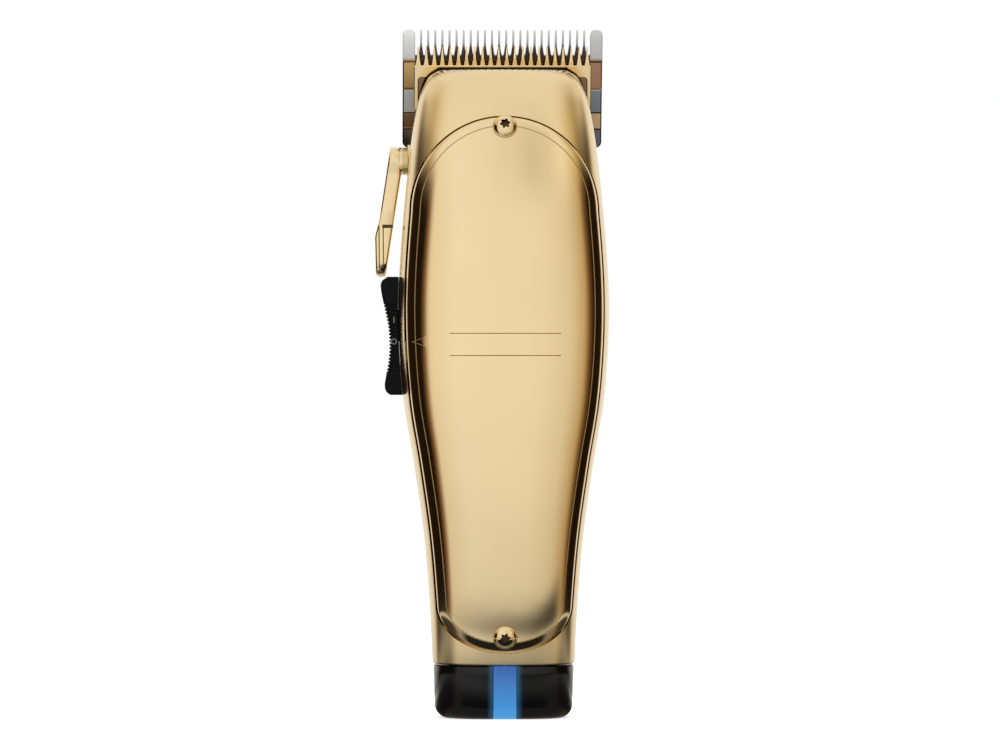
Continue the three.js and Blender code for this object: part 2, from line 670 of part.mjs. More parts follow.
function boardPart(x, z, halfX, halfZ, height) {
  const face = BOARD_Y[0] - GAP;
  return box([x - halfX, x + halfX], [face - height, face], [z - halfZ, z + halfZ]);
}

// ---------------------------------------------------------------- taper lever

function taperLever() {
  const frontView = outline([
    [-27.2, 136.65], [-29.7, 119.8], [-30.8, 115.4], [-30.7, 106.4], [-29.4, 105.7], [-28.2, 105.9],
    [-26.4, 118], [-24.5, 130.2], [-24.5, 136.65],
  ]);
  const side = new THREE.Shape();
  side.absarc(LEVER_Y, LEVER_Z, 3.05, -0.2, Math.PI + 0.2, false);
  side.lineTo(LEVER_Y - 2.5, 121.5);
  side.lineTo(LEVER_Y - 3.9, 118);
  side.lineTo(LEVER_Y - 3.9, 109.5);
  side.absarc(LEVER_Y, 109.5, 3.9, Math.PI, 2 * Math.PI, false);
  side.lineTo(LEVER_Y + 3.9, 118);
  side.lineTo(LEVER_Y + 2.5, 121.5);
  const blank = common(plateY(frontView, [LEVER_Y - 8, LEVER_Y + 8]), plateX(side, [-32, -24]));
  const screwRoom = rodX(1.9, [-29, -26.2], [LEVER_Y, LEVER_Z], 16);
  const shaftHole = rodX(1.3, [-28, -24], [LEVER_Y, LEVER_Z], 12);
  const ridgeCut = plateX(outline([
    [LEVER_Y - 0.5, 119], [LEVER_Y + 0.5, 119], [LEVER_Y + 0.5, 108], [LEVER_Y - 0.5, 108],
  ]), [-32, -29.9]);
  return cut(blank, screwRoom, shaftHole, ridgeCut);
}

// Rotating with the lever: a shaft, a disc and the crank pin that works in the carrier's lug.
function leverShaft() {
  const along = CRANK_RADIUS * Math.cos(CRANK_REST_ANGLE + BLADE_TILT);
  const up = CRANK_RADIUS * Math.sin(CRANK_REST_ANGLE + BLADE_TILT);
  const shaft = rodX(2.0, [-24.2, -18.4], [LEVER_Y, LEVER_Z], 20);
  const disc = rodX(3.4, [-18.5, -17.1], [LEVER_Y, LEVER_Z], 24);
  const pin = rodX(0.9, [-17.2, -13.4], [LEVER_Y + along, LEVER_Z + up], 16);
  return cut(join(shaft, disc, pin), rodX(1.3, [-25, -21], [LEVER_Y, LEVER_Z], 12));
}

function leverScrew() {
  const shank = rodX(1, [-26.4, -21.4], [LEVER_Y, LEVER_Z], 12);
  const head = rodX(1.6, [-27.0, -26.5], [LEVER_Y, LEVER_Z], 16);
  return join(shank, rodX(1, [-26.6, -26.3], [LEVER_Y, LEVER_Z], 12), head);
}

function leverBush() {
  const outer = rodX(3.3, [-24.1, -19.2], [LEVER_Y, LEVER_Z]);
  return cut(outer, rodX(2.1, [-25, -18], [LEVER_Y, LEVER_Z]));
}

// ---------------------------------------------------------------- power switch

function switchButton() {
  const low = 77.3;
  const high = 105.6;
  const face = (z) => {
    const offset = (z - SWITCH_CENTRE) / 14.2;
    return -27.5 - 2.2 * Math.sin((Math.min(Math.abs(offset), 1) * Math.PI) / 2) ** 1.4;
  };
  const heights = steps(low + 0.8, high - 0.8, 16);
  const shape = outline([
    [-26.1, low], [-26.1, high], [-27.8, high],
    ...heights.slice().reverse().map((z) => [face(z), z]), [-27.8, low],
  ]);
  const cap = plateY(shape, [-4.6, 4.6]);
  const housingRoom = bodySurface(-GAP);
  const stem = box([-27, -21.4], [-2.2, 2.2], [90.2, 97.7]);
  return join(cut(cap, housingRoom), stem);
}

function slideSwitch() {
  return box([-20.6, -16.2], [-3.4, 3.4], [82.4, 101]);
}

// ---------------------------------------------------------------- assembly

const clipper = new THREE.Group();
const bladeSet = new THREE.Group();
bladeSet.position.set(...BLADE_HEEL);
bladeSet.rotation.x = BLADE_TILT;
clipper.add(bladeSet);

function add(group, name, geometry, look) {
  const mesh = new THREE.Mesh(geometry, new THREE.MeshStandardMaterial(look));
  mesh.name = name;
  group.add(mesh);
}

add(clipper, 'housing', housing(), SATIN_GOLD);
add(clipper, 'cover_plate', coverPlate(), POLISHED_GOLD);
for (const [name, z] of Object.entries(COVER_SCREW_HEIGHTS)) {
  add(clipper, name, coverScrew(z), POLISHED_GOLD);
}
add(clipper, 'base_cap', baseCap(), GLOSS_BLACK);
add(clipper, 'light_pipe', lightPipe(), BLUE_LIGHT);
add(clipper, 'status_led', box([-1.4, 1.4], [-9.3, -8.6], [4.5, 8]), WHITE_PLASTIC);
add(clipper, 'led_board', box([-5, 5], [-8.3, -7.2], [3, 12]), BOARD_GREEN);

for (const [suffix, side] of Object.entries(SIDES)) {
  add(clipper, `charge_contact_${suffix}`, chargeContact(side, 0, GAP), BRASS);
  add(clipper, `base_screw_${suffix}`, baseScrew(side), DARK_STEEL);
  add(clipper, `bracket_screw_${suffix}`, capScrewZ(bracketScrewAxis(side), BRACKET_TOP, 7), STEEL);
  add(clipper, `motor_screw_${suffix}`, capScrewZ([side * MOTOR_SCREW_X, MOTOR_Y], BRACKET_TOP, 3.4), STEEL);
  add(clipper, `motor_magnet_${suffix}`, magnet(side), DARK_STEEL);
  add(clipper, `motor_brush_${suffix}`, brush(side), DARK_STEEL);
  add(bladeSet, `blade_screw_${suffix}`, bladeScrew(side), STEEL);
  add(bladeSet, `tension_spring_${suffix}`, tensionSpring(side), STEEL);
  add(bladeSet, `spring_screw_${suffix}`, springScrew(side), STEEL);
}

add(bladeSet, 'comb_blade', combBlade(), STEEL);
add(bladeSet, 'blade_carrier', bladeCarrier(), STEEL);
add(bladeSet, 'cutter_blade', cutterBlade(), POLISHED_GOLD);
add(bladeSet, 'cutter_fork', cutterFork(), MATTE_BLACK);
add(bladeSet, 'rocker_arm', rockerArm(), WHITE_PLASTIC);
add(bladeSet, 'rocker_pivot_pin', pivotPin(), STEEL);

add(clipper, 'motor_can', motorCan(), STEEL);
add(clipper, 'motor_bush', motorBush(), BRASS);
add(clipper, 'motor_end_bell', endBell(), WHITE_PLASTIC);
add(clipper, 'motor_bracket', motorBracket(), DARK_STEEL);
add(clipper, 'motor_shaft', motorShaft(), STEEL);
add(clipper, 'rotor_core', rotorCore(), COPPER);
add(clipper, 'commutator', commutator(), COPPER);
add(clipper, 'eccentric', eccentric(), BRASS);

add(clipper, 'battery_cell', batteryCell(), BLUE_WRAP);
add(clipper, 'battery_holder', batteryHolder(), MATTE_BLACK);
add(clipper, 'battery_contact_lower', contactPlate([17.3, 17.9]), STEEL);
add(clipper, 'battery_contact_upper', contactPlate([84.8, 85.4]), STEEL);
add(clipper, 'circuit_board', circuitBoard(), BOARD_GREEN);
add(clipper, 'control_chip', boardPart(-2, 54, 3.5, 3.5, 1.1), MATTE_BLACK);
add(clipper, 'power_coil', boardPart(4, 40, 3.2, 3.2, 2.2), DARK_STEEL);
add(clipper, 'board_capacitor', rodY(2.4, [-13.4, BOARD_Y[0] - GAP], [5, 66], 20), COPPER);

add(clipper, 'taper_lever', taperLever(), POLISHED_GOLD);
add(clipper, 'lever_shaft', leverShaft(), STEEL);
add(clipper, 'lever_screw', leverScrew(), STEEL);
add(clipper, 'lever_bush', leverBush(), BRASS);
add(clipper, 'switch_button', switchButton(), MATTE_BLACK);
add(clipper, 'slide_switch', slideSwitch(), MATTE_BLACK);

const MOTOR_LEAD = [[-5, -7, 87.3], [-5.2, -8.4, 86.2], [-5.6, -9.4, 84.4], [-6, -9.6, 82.5]];
const mirrorX = (points) => points.map(([x, y, z]) => [-x, y, z]);
add(clipper, 'motor_lead_black', wire(MOTOR_LEAD, 0.6, 10), MATTE_BLACK);
add(clipper, 'motor_lead_red', wire(mirrorX(MOTOR_LEAD), 0.6, 10), RED_LEAD);
const LED_LEAD = [[0, -7.75, 12.5], [0, -7.8, 15], [0, -8.9, 18.5], [0, -9.6, 21.6]];
add(clipper, 'led_lead', wire(LED_LEAD, 0.6, 12), WHITE_PLASTIC);
const SWITCH_LEAD = [[-9, -9.6, 82.5], [-10.5, -9.4, 84.5], [-14.5, -6.6, 84], [-17, -4.4, 84]];
add(clipper, 'switch_lead', wire(SWITCH_LEAD, 0.6, 14), WHITE_PLASTIC);

export default clipper;
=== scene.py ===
"""Looks of a cordless hair clipper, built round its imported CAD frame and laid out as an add-on."""

import json
import math

import bmesh
import bpy
from bpy.props import FloatProperty, FloatVectorProperty, IntProperty, PointerProperty
from mathutils import Matrix, Vector


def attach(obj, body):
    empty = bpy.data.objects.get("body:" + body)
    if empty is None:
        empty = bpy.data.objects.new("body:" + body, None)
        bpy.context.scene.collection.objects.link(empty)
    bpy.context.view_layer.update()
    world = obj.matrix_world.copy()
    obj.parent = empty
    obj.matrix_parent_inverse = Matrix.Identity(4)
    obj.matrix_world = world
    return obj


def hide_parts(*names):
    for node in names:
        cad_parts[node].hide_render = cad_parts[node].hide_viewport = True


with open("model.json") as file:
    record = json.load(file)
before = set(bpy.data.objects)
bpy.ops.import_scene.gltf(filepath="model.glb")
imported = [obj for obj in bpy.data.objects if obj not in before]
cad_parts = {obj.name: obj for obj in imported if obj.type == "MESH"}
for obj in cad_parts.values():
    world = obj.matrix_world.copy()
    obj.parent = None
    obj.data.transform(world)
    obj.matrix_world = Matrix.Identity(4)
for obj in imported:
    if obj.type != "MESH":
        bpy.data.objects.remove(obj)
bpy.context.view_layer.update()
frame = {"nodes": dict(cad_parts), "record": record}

bl_info = {
    "name": "Hair Clipper Looks",
    "version": (1, 0, 0),
    "blender": (4, 5, 0),
    "location": "3D View > Sidebar > Clipper",
    "description": "Builds the visible pieces, finishes and studio of a cordless hair clipper",
    "category": "Object",
}

MM = 0.001

# ------------------------------------------------------------------ the body's surface, in mm

SECTION_POWER = 2.6  # superellipse exponent of every cross-section
HOUSING_BOTTOM = 13.0
HOUSING_TOP = 155.3
WALL = 2.5
CAP_TOP = 12.7
CAP_CORNER = 3.0
GAP = 0.3

# The outline as (height, value) stations: half width, front and back of each section.
HALF_WIDTHS = (
    (13, 17.0), (28, 17.8), (44, 19.2), (61, 21.6), (75, 23.9), (88, 25.0), (100, 25.25),
    (112, 24.7), (127, 23.4), (140, 21.9), (148, 20.4), (152, 18.9), (154, 17.6), (155.3, 15.6),
)
FRONTS = (
    (13, -14.6), (28, -16.2), (44, -17.4), (61, -18.5), (80, -19.5), (100, -20.0), (115, -19.6),
    (128, -17.6), (139, -14.3), (147, -10.6), (152, -7.2), (154.2, -4.8), (155.3, -2.6),
)
BACKS = (
    (13, 14.6), (40, 16.0), (70, 17.5), (100, 18.5), (120, 19.0), (137, 19.0), (147, 18.0),
    (155.3, 15.0),
)

COVER_BOTTOM = 16.2
COVER_LOWER_END = 27.5  # where the lower half-ellipse starts
COVER_UPPER_END = 121.0
COVER_TOP = 143.5
BODY_LANES = 176  # sides of the body's rings
COVER_LANES = 220  # sides of the cover's rings
COVER_FOOT = 25.0  # below this height the cover's rim starts to lean back
COVER_FOOT_FADE = 3.0

# The blades are drawn in a frame of their own: x across, y out of the back, z towards the tips.
BLADE_TILT = math.radians(18)
BLADE_ORIGIN = Vector((0, 16, 137))
BLADE_FRAME = Matrix.Translation(BLADE_ORIGIN) @ Matrix.Rotation(BLADE_TILT, 4, "X")
DECK_FACE = -3.5  # the face, back and floor of the deck that carries the blades
DECK_BACK = -6.0
POCKET_FLOOR = -5.5
LEVER_AXIS = (8.7, 133.6)  # y and z of the lever's shaft
BOSS_FACE = -22.9
SIDES = {"left": -1, "right": 1}


def smooth_curve(stations):
    """A smooth curve through stations: cubic pieces with averaged slopes."""
    last = len(stations) - 1

    def slope(i):
        before, after = stations[max(i - 1, 0)], stations[min(i + 1, last)]
        return (after[1] - before[1]) / (after[0] - before[0])

    slopes = [slope(i) for i in range(last + 1)]

    def value(height):
        z = min(max(height, stations[0][0]), stations[last][0])
        i = next(k for k in range(1, last + 1) if z <= stations[k][0]) - 1
        (z0, v0), (z1, v1) = stations[i], stations[i + 1]
        t = (z - z0) / (z1 - z0)
        lean = (z1 - z0) * t * (1 - t)
        return v0 + (v1 - v0) * t * t * (3 - 2 * t) + lean * (slopes[i] * (1 - t) - slopes[i + 1] * t)

    return value


half_width = smooth_curve(HALF_WIDTHS)
front = smooth_curve(FRONTS)
back = smooth_curve(BACKS)


def steps(start, end, count):
    return [start + (end - start) * i / count for i in range(count + 1)]


def between(stations, z):
    """Straight lines through (height, value) stations."""
    for (z0, v0), (z1, v1) in zip(stations, stations[1:]):
        if z <= z1:
            return v0 + (v1 - v0) * max(z - z0, 0) / (z1 - z0)
    return stations[-1][1]


def section(z, inset=0.0):
    """Half width, middle and half depth of the body's section."""
    middle = (front(z) + back(z)) / 2
    return half_width(z) - inset, middle, (back(z) - front(z)) / 2 - inset


def round_power(value):
    return math.copysign(abs(value) ** (2 / SECTION_POWER), value)


def section_ring(z, inset=0.0):
    width, middle, depth = section(z, inset)

    def at(turn):
        angle = 2 * math.pi * turn
        x = width * round_power(math.cos(angle))
        return Vector((x, middle + depth * round_power(math.sin(angle)), z))

    return at


def on_front(x, z, proud=0.0):
    """The point of the front surface at x and z, raised by proud."""
    width, middle, depth = section(z, -proud)
    reach = min(abs(x) / width, 1)
    y = middle - depth * (1 - reach**SECTION_POWER) ** (1 / SECTION_POWER)
    return Vector((x, y, z))


def front_lean(z):
    return math.atan2(front(z + 1) - front(z - 1), 2)


# ------------------------------------------------------------------ bmesh helpers, in mm


def sweep(sides, rings, caps=True):
    """A skin through closed rings: a circle moved onto the first ring and extruded onto each next one."""
    bm = bmesh.new()
    bmesh.ops.create_circle(bm, segments=sides, radius=1)
    lane = bm.verts.layers.int.new("lane")
    for i, vert in enumerate(bm.verts):
        vert[lane] = i
        vert.co = rings[0](i / sides)
    edges = bm.edges[:]
    if caps:
        bmesh.ops.edgeloop_fill(bm, edges=edges)
    for ring in rings[1:]:
        grown = bmesh.ops.extrude_edge_only(bm, edges=edges)["geom"]
        verts = {g for g in grown if isinstance(g, bmesh.types.BMVert)}
        edges = [g for g in grown if isinstance(g, bmesh.types.BMEdge) and set(g.verts) <= verts]
        for vert in verts:
            vert.co = ring(vert[lane] / sides)
    if caps:
        bmesh.ops.edgeloop_fill(bm, edges=edges)
    bmesh.ops.remove_doubles(bm, verts=bm.verts, dist=0.002)
    bmesh.ops.recalc_face_normals(bm, faces=bm.faces)
    return bm


def rounded(across, along, corner, place, sides=24):
    """A ring round a rectangle with rounded corners; place turns its two coordinates into a point."""
    (a0, a1), (b0, b1) = across, along
    corner = min(corner, (a1 - a0) / 2 - 0.001, (b1 - b0) / 2 - 0.001)

    def at(turn):
        angle = 2 * math.pi * (turn + 0.5 / sides)
        c, s = math.cos(angle), math.sin(angle)
        a = (a0 + a1) / 2 + math.copysign((a1 - a0) / 2 - corner, c) + corner * c
        b = (b0 + b1) / 2 + math.copysign((b1 - b0) / 2 - corner, s) + corner * s
        return Vector(place(a, b))

    return at


def cornered(points):
    """A ring that steps from corner to corner of a polygon."""
    return lambda turn: Vector(points[round(turn * len(points)) % len(points)])


def slab(xs, ys, zs, corner=1.0, chamfer=0.25, sides=24):
    """A plate with its thickness along y, rounded corners and chamfered rims."""
    rings = []
    for y, inset in ((ys[0], chamfer), (ys[0] + chamfer, 0), (ys[1] - chamfer, 0), (ys[1], chamfer)):
        across = (xs[0] + inset, xs[1] - inset)
        along = (zs[0] + inset, zs[1] - inset)
        rings.append(rounded(across, along, corner, lambda a, b, y=y: (a, y, b), sides))
    return sweep(sides, rings)


def block(xs, ys, zs):
    """A plain block, used only to cut with or to join to a larger shape."""
    bm = bmesh.new()
    bmesh.ops.create_cube(bm, size=1)
    bmesh.ops.scale(bm, vec=(xs[1] - xs[0], ys[1] - ys[0], zs[1] - zs[0]), verts=bm.verts)
    bmesh.ops.translate(bm, vec=[(a + b) / 2 for a, b in (xs, ys, zs)], verts=bm.verts)
    return bm


def turned(profile, sides=32):
    """A turned shape about Z; the profile is (radius, z) from one end of the axis to the other."""
    bm = bmesh.new()
    verts = [bm.verts.new((radius, 0, z)) for radius, z in profile]
    edges = [bm.edges.new(ends) for ends in zip(verts, verts[1:])]
    bmesh.ops.spin(
        bm, geom=verts + edges, angle=2 * math.pi, steps=sides, use_merge=True,
        axis=(0, 0, 1), cent=(0, 0, 0),
    )
    bmesh.ops.remove_doubles(bm, verts=bm.verts, dist=0.002)
    bmesh.ops.recalc_face_normals(bm, faces=bm.faces)
    return bm


def rod(radius, ends, axis="Z", at=(0, 0), sides=24):
    """A round bar along an axis, through the two other coordinates."""
    bm = turned([(0, ends[0]), (radius, ends[0]), (radius, ends[1]), (0, ends[1])], sides)
    turn = {
        "Z": Matrix(),
        "Y": Matrix.Rotation(-math.pi / 2, 4, "X"),
        "X": Matrix.Rotation(math.pi / 2, 4, "Y"),
    }
    shift = {"Z": (at[0], at[1], 0), "Y": (at[0], 0, at[1]), "X": (0, at[0], at[1])}
    bmesh.ops.transform(bm, matrix=Matrix.Translation(shift[axis]) @ turn[axis], verts=bm.verts)
    return bm


def moved(bm, matrix):
    bmesh.ops.transform(bm, matrix=matrix, verts=bm.verts)
    return bm


def piece_from(bm, name):
    """The bmesh, drawn in millimetres, as a new object in metres."""
    bmesh.ops.scale(bm, vec=(MM, MM, MM), verts=bm.verts)
    mesh = bpy.data.meshes.new(name)
    bm.to_mesh(mesh)
    bm.free()
    obj = bpy.data.objects.new(name, mesh)
    bpy.context.scene.collection.objects.link(obj)
    return obj


def put(obj, matrix):
    """Moves a piece's mesh by a matrix in millimetres."""
    obj.data.transform(Matrix.Scale(MM, 4) @ matrix @ Matrix.Scale(1 / MM, 4))


def settle(obj):
    """Makes what the modifiers show the piece's own mesh."""
    bpy.context.view_layer.update()
    evaluated = obj.evaluated_get(bpy.context.evaluated_depsgraph_get())
    mesh = bpy.data.meshes.new_from_object(evaluated)
    obj.modifiers.clear()
    obj.data = mesh


def carve(obj, tools, operation="DIFFERENCE", finish=None):
    """Cuts the tool shapes out of a piece, or joins them to it; cut faces may get their own finish."""
    kit = bpy.data.collections.new("tools")
    bpy.context.scene.collection.children.link(kit)
    tool_objects = [piece_from(bm, "tool") for bm in tools]
    for tool in tool_objects:
        bpy.context.scene.collection.objects.unlink(tool)
        kit.objects.link(tool)
        if finish:
            tool.data.materials.append(FINISHES[finish])
    boolean = obj.modifiers.new("carve", "BOOLEAN")
    boolean.operation = operation
    boolean.solver = "EXACT"
    boolean.operand_type = "COLLECTION"
    boolean.collection = kit
    if finish:
        boolean.material_mode = "TRANSFER"
    settle(obj)
    for tool in tool_objects:
        bpy.data.objects.remove(tool)
    bpy.data.collections.remove(kit)
    if not obj.data.polygons:
        raise RuntimeError(f"nothing is left of {obj.name}")


def coat(obj, finish):
    """Gives a piece its main finish; finishes that its cut faces have stay."""
    if obj.data.materials:
        obj.data.materials[0] = FINISHES[finish]
    else:
        obj.data.materials.append(FINISHES[finish])


def show(obj, body, slot, finish, *nodes, angle=35):
    """Gives a piece its shading, finish and place in the frame."""
    obj.data.shade_smooth()
    obj.data.set_sharp_from_angle(angle=math.radians(angle))
    coat(obj, finish)
    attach(obj, body)
    if nodes:
        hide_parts(*nodes)


# ------------------------------------------------------------------ sizes and colours a user may change


class ClipperSizes(bpy.types.PropertyGroup):
    """Sizes of the visible shapes"""

    cover_inset: FloatProperty(
        name="Cover inset", description="From the body's side to the cover's edge",
        default=1.7 * MM, unit="LENGTH", subtype="DISTANCE",
    )
    cover_proud: FloatProperty(
        name="Cover height", description="How far the cover stands out of the body",
        default=0.8 * MM, unit="LENGTH", subtype="DISTANCE",
    )
    cover_seam: FloatProperty(
        name="Cover seam", description="Width of the gap round the cover",
        default=0.35 * MM, unit="LENGTH", subtype="DISTANCE",
    )
    ring_width: FloatProperty(
        name="Ring width", description="Width of the ring round the cover's face",
        default=2.1 * MM, unit="LENGTH", subtype="DISTANCE",
    )
    screw_radius: FloatProperty(
        name="Cover screw radius", description="Radius of the domed heads",
        default=2.85 * MM, unit="LENGTH", subtype="DISTANCE",
    )
    comb_teeth: IntProperty(
        name="Comb teeth", description="Teeth between the two side teeth", default=24,
    )
    cutter_teeth: IntProperty(
        name="Cutter teeth", description="Teeth of the moving blade", default=22,
    )
    serrations: IntProperty(
        name="Switch ridges", description="Grip ridges on the slide switch", default=19,
    )


class ClipperColours(bpy.types.PropertyGroup):
    """Colours of the finishes"""

    gold: FloatVectorProperty(
        name="Gold", description="Plated body and cover",
        default=(0.865, 0.69, 0.405), size=3, subtype="COLOR",
    )
    steel: FloatVectorProperty(
        name="Steel", description="Ground blade steel",
        default=(0.78, 0.77, 0.75), size=3, subtype="COLOR",
    )
    black: FloatVectorProperty(
        name="Black", description="Base and switch plastic",
        default=(0.006, 0.006, 0.007), size=3, subtype="COLOR",
    )
    glow_top: FloatVectorProperty(
        name="Light, top", description="Light band at the housing",
        default=(0.022, 0.08, 0.31), size=3, subtype="COLOR",
    )
    glow_bottom: FloatVectorProperty(
        name="Light, bottom", description="Light band at the foot",
        default=(0.06, 0.31, 0.66), size=3, subtype="COLOR",
    )


class ClipperStudio(bpy.types.PropertyGroup):
    """Camera and studio"""

    lens: FloatProperty(
        name="Lens", description="Focal length", default=250, subtype="DISTANCE_CAMERA",
    )
    view_width: FloatProperty(
        name="View width", description="Width of the view at the object", default=0.24,
        unit="LENGTH", subtype="DISTANCE",
    )
    aim_height: FloatProperty(
        name="Aim height", description="Height of the middle of the view", default=0.08208,
        unit="LENGTH", subtype="DISTANCE",
    )
    turn: FloatProperty(
        name="Turn", description="How far the camera stands round from the front",
        default=math.radians(-1.4), unit="ROTATION",
    )
    aim_side: FloatProperty(
        name="Aim side", description="Middle of the view, across", default=-0.00084,
        unit="LENGTH", subtype="DISTANCE",
    )


def sizes():
    return bpy.context.scene.clipper_sizes


def colours():
    return bpy.context.scene.clipper_colours


# ------------------------------------------------------------------ shader helpers and groups


def wire(tree, start, out, end, into):
    tree.links.new(start.outputs[out], end.inputs[into])


def math_node(tree, operation, first, second=None):
    """A Math node; a tuple (node, output) is linked and a number is set."""
    node = tree.nodes.new("ShaderNodeMath")
    node.operation = operation
    for i, value in enumerate((first, second)):
        if isinstance(value, tuple):
            wire(tree, *value, node, i)
        elif value is not None:
            node.inputs[i].default_value = value
    return node


def ranged(tree, source, start, end, kind="LINEAR", ends=(0, 1)):
    """Runs between two ends while the source, a (node, output) pair, goes from start to end."""
    node = tree.nodes.new("ShaderNodeMapRange")
    node.interpolation_type = kind
    for label, value in zip(("From Min", "From Max", "To Min", "To Max"), (start, end, *ends)):
        node.inputs[label].default_value = value
    wire(tree, *source, node, "Value")
    return node


def color_ramp(tree, source, stops):
    """Colours by (position, colour) stops over a source, a (node, output) pair."""
    node = tree.nodes.new("ShaderNodeValToRGB")
    elements = node.color_ramp.elements
    for element, (position, color) in zip(elements, (stops[0], stops[-1])):
        element.position = position
        element.color = (*color, 1)
    for position, color in stops[1:-1]:
        elements.new(position).color = (*color, 1)
    wire(tree, *source, node, "Fac")
    return node


def color_mix(tree, mask, first, second):
    """first where the mask is 0 and second where it is 1; a colour, or a (node, output) pair."""
    mix = tree.nodes.new("ShaderNodeMix")
    mix.data_type = "RGBA"
    wire(tree, mask, 0, mix, "Factor")
    for socket, value in ((6, first), (7, second)):
        if isinstance(value[0], bpy.types.Node):
            wire(tree, *value, mix, socket)
        else:
            mix.inputs[socket].default_value = (*value, 1)
    return mix


def split(tree, source):
    """The x, y and z of a source, a (node, output) pair."""
    parts = tree.nodes.new("ShaderNodeSeparateXYZ")
    wire(tree, *source, parts, 0)
    return parts


# Surface groups: scale, roughness and spread at first, then the noise's stretch and detail. Fine lines
# along Z from brushing, faint smears from hands, and the grain of moulded and cast surfaces.
SURFACES = {
    "brushed_lines": (900.0, 0.3, 0.12, (1.0, 1.0, 0.02), 4.0),
    "handling_marks": (60.0, 0.1, 0.04, (1.0, 1.0, 0.6), 5.0),
    "moulded_grain": (2500.0, 0.5, 0.15, (1.0, 1.0, 1.0), 2.0),
}


def new_group(name, inputs, outputs, kind):
    """A shader group with a vector input, named numbers in and sockets of one kind out."""
    group = bpy.data.node_groups.new(name, "ShaderNodeTree")
    group.interface.new_socket("Vector", in_out="INPUT", socket_type="NodeSocketVector")
    for label, default in inputs.items():
        socket = group.interface.new_socket(label, in_out="INPUT", socket_type="NodeSocketFloat")
        socket.default_value = default
    for label in outputs:
        group.interface.new_socket(label, in_out="OUTPUT", socket_type=kind)
    return group, group.nodes.new("NodeGroupInput"), group.nodes.new("NodeGroupOutput")


def surface_group(name, scale, roughness, spread, stretch, detail):
    """Noise on stretched coordinates: a height, and a roughness that spreads about a level."""
    inputs = {"Scale": scale, "Roughness": roughness, "Spread": spread}
    group, source, sink = new_group(name, inputs, ("Roughness", "Height"), "NodeSocketFloat")
    scaled = group.nodes.new("ShaderNodeVectorMath")
    scaled.operation = "MULTIPLY"
    scaled.inputs[1].default_value = stretch
    wire(group, source, "Vector", scaled, 0)
    noise = group.nodes.new("ShaderNodeTexNoise")
    noise.inputs["Detail"].default_value = detail
    wire(group, scaled, 0, noise, "Vector")
    wire(group, source, "Scale", noise, "Scale")
    centred = math_node(group, "SUBTRACT", (noise, "Fac"), 0.5)
    change = math_node(group, "MULTIPLY", (centred, 0), (source, "Spread"))
    rough = math_node(group, "ADD", (change, 0), (source, "Roughness"))
    wire(group, rough, 0, sink, "Roughness")
    wire(group, noise, "Fac", sink, "Height")


# ------------------------------------------------------------------ finishes

FINISHES = {}
BUMP_DEPTH = 0.02 * MM
GLOW_REACH = (2.6, 4.6)  # between these distances from the middle the light band's glow fades out
GLOW_FRONT = -9.0  # and it only lies in front of this y
TINT_SCALE = 60


def new_finish(name, color, metallic, roughness):
    """A material with a Principled shader, and the nodes that the finish goes on with."""
    material = bpy.data.materials.new(name)
    material.use_nodes = True
    tree = material.node_tree
    shader = next(n for n in tree.nodes if n.type == "BSDF_PRINCIPLED")
    shader.inputs["Base Color"].default_value = (*color, 1)
    shader.inputs["Metallic"].default_value = metallic
    shader.inputs["Roughness"].default_value = roughness
    place = tree.nodes.new("ShaderNodeTexCoord")
    FINISHES[name] = material
    return tree, shader, place


def apply_surface(tree, shader, place, group, scale, roughness, spread_by, bump):
    """Places a surface group in a material: it drives the roughness and a fine bump."""
    node = tree.nodes.new("ShaderNodeGroup")
    node.node_tree = bpy.data.node_groups[group]
    wire(tree, place, "Object", node, "Vector")
    node.inputs["Scale"].default_value = scale
    node.inputs["Roughness"].default_value = roughness
    node.inputs["Spread"].default_value = spread_by
    wire(tree, node, "Roughness", shader, "Roughness")
    if bump:
        relief = tree.nodes.new("ShaderNodeBump")
        relief.inputs["Strength"].default_value = bump
        relief.inputs["Distance"].default_value = BUMP_DEPTH
        wire(tree, node, "Height", relief, "Height")
        wire(tree, relief, 0, shader, "Normal")


def shade(color, factor):
    return tuple(min(channel * factor, 1) for channel in color)


def plain_finish(name, color, metallic, roughness, group, scale, spread_by, bump):
    """A finish with one surface group and slow changes between two near colours."""
    tree, shader, place = new_finish(name, color, metallic, roughness)
    apply_surface(tree, shader, place, group, scale, roughness, spread_by, bump)
    noise = tree.nodes.new("ShaderNodeTexNoise")
    noise.inputs["Scale"].default_value = TINT_SCALE
    wire(tree, place, "Object", noise, "Vector")
    tint = color_ramp(tree, (noise, "Fac"), ((0.3, shade(color, 0.985)), (0.7, shade(color, 1.01))))
    wire(tree, tint, "Color", shader, "Base Color")
    return shader


def gold_finishes():
    gold = colours().gold
    plain_finish("polished_gold", gold, 1, 0.11, "handling_marks", 45, 0.015, 0.0)
    plain_finish("satin_gold", shade(gold, 0.985), 1, 0.22, "brushed_lines", 4200, 0.08, 0.02)
    plain_finish("gold_steel", gold, 1, 0.17, "brushed_lines", 1800, 0.08, 0.05)
    plain_finish("etched_gold", shade(gold, 0.72), 1, 0.5, "moulded_grain", 2400, 0.1, 0.05)
    plain_finish("screw_gold", shade(gold, 0.97), 1, 0.07, "handling_marks", 300, 0.02, 0.0)


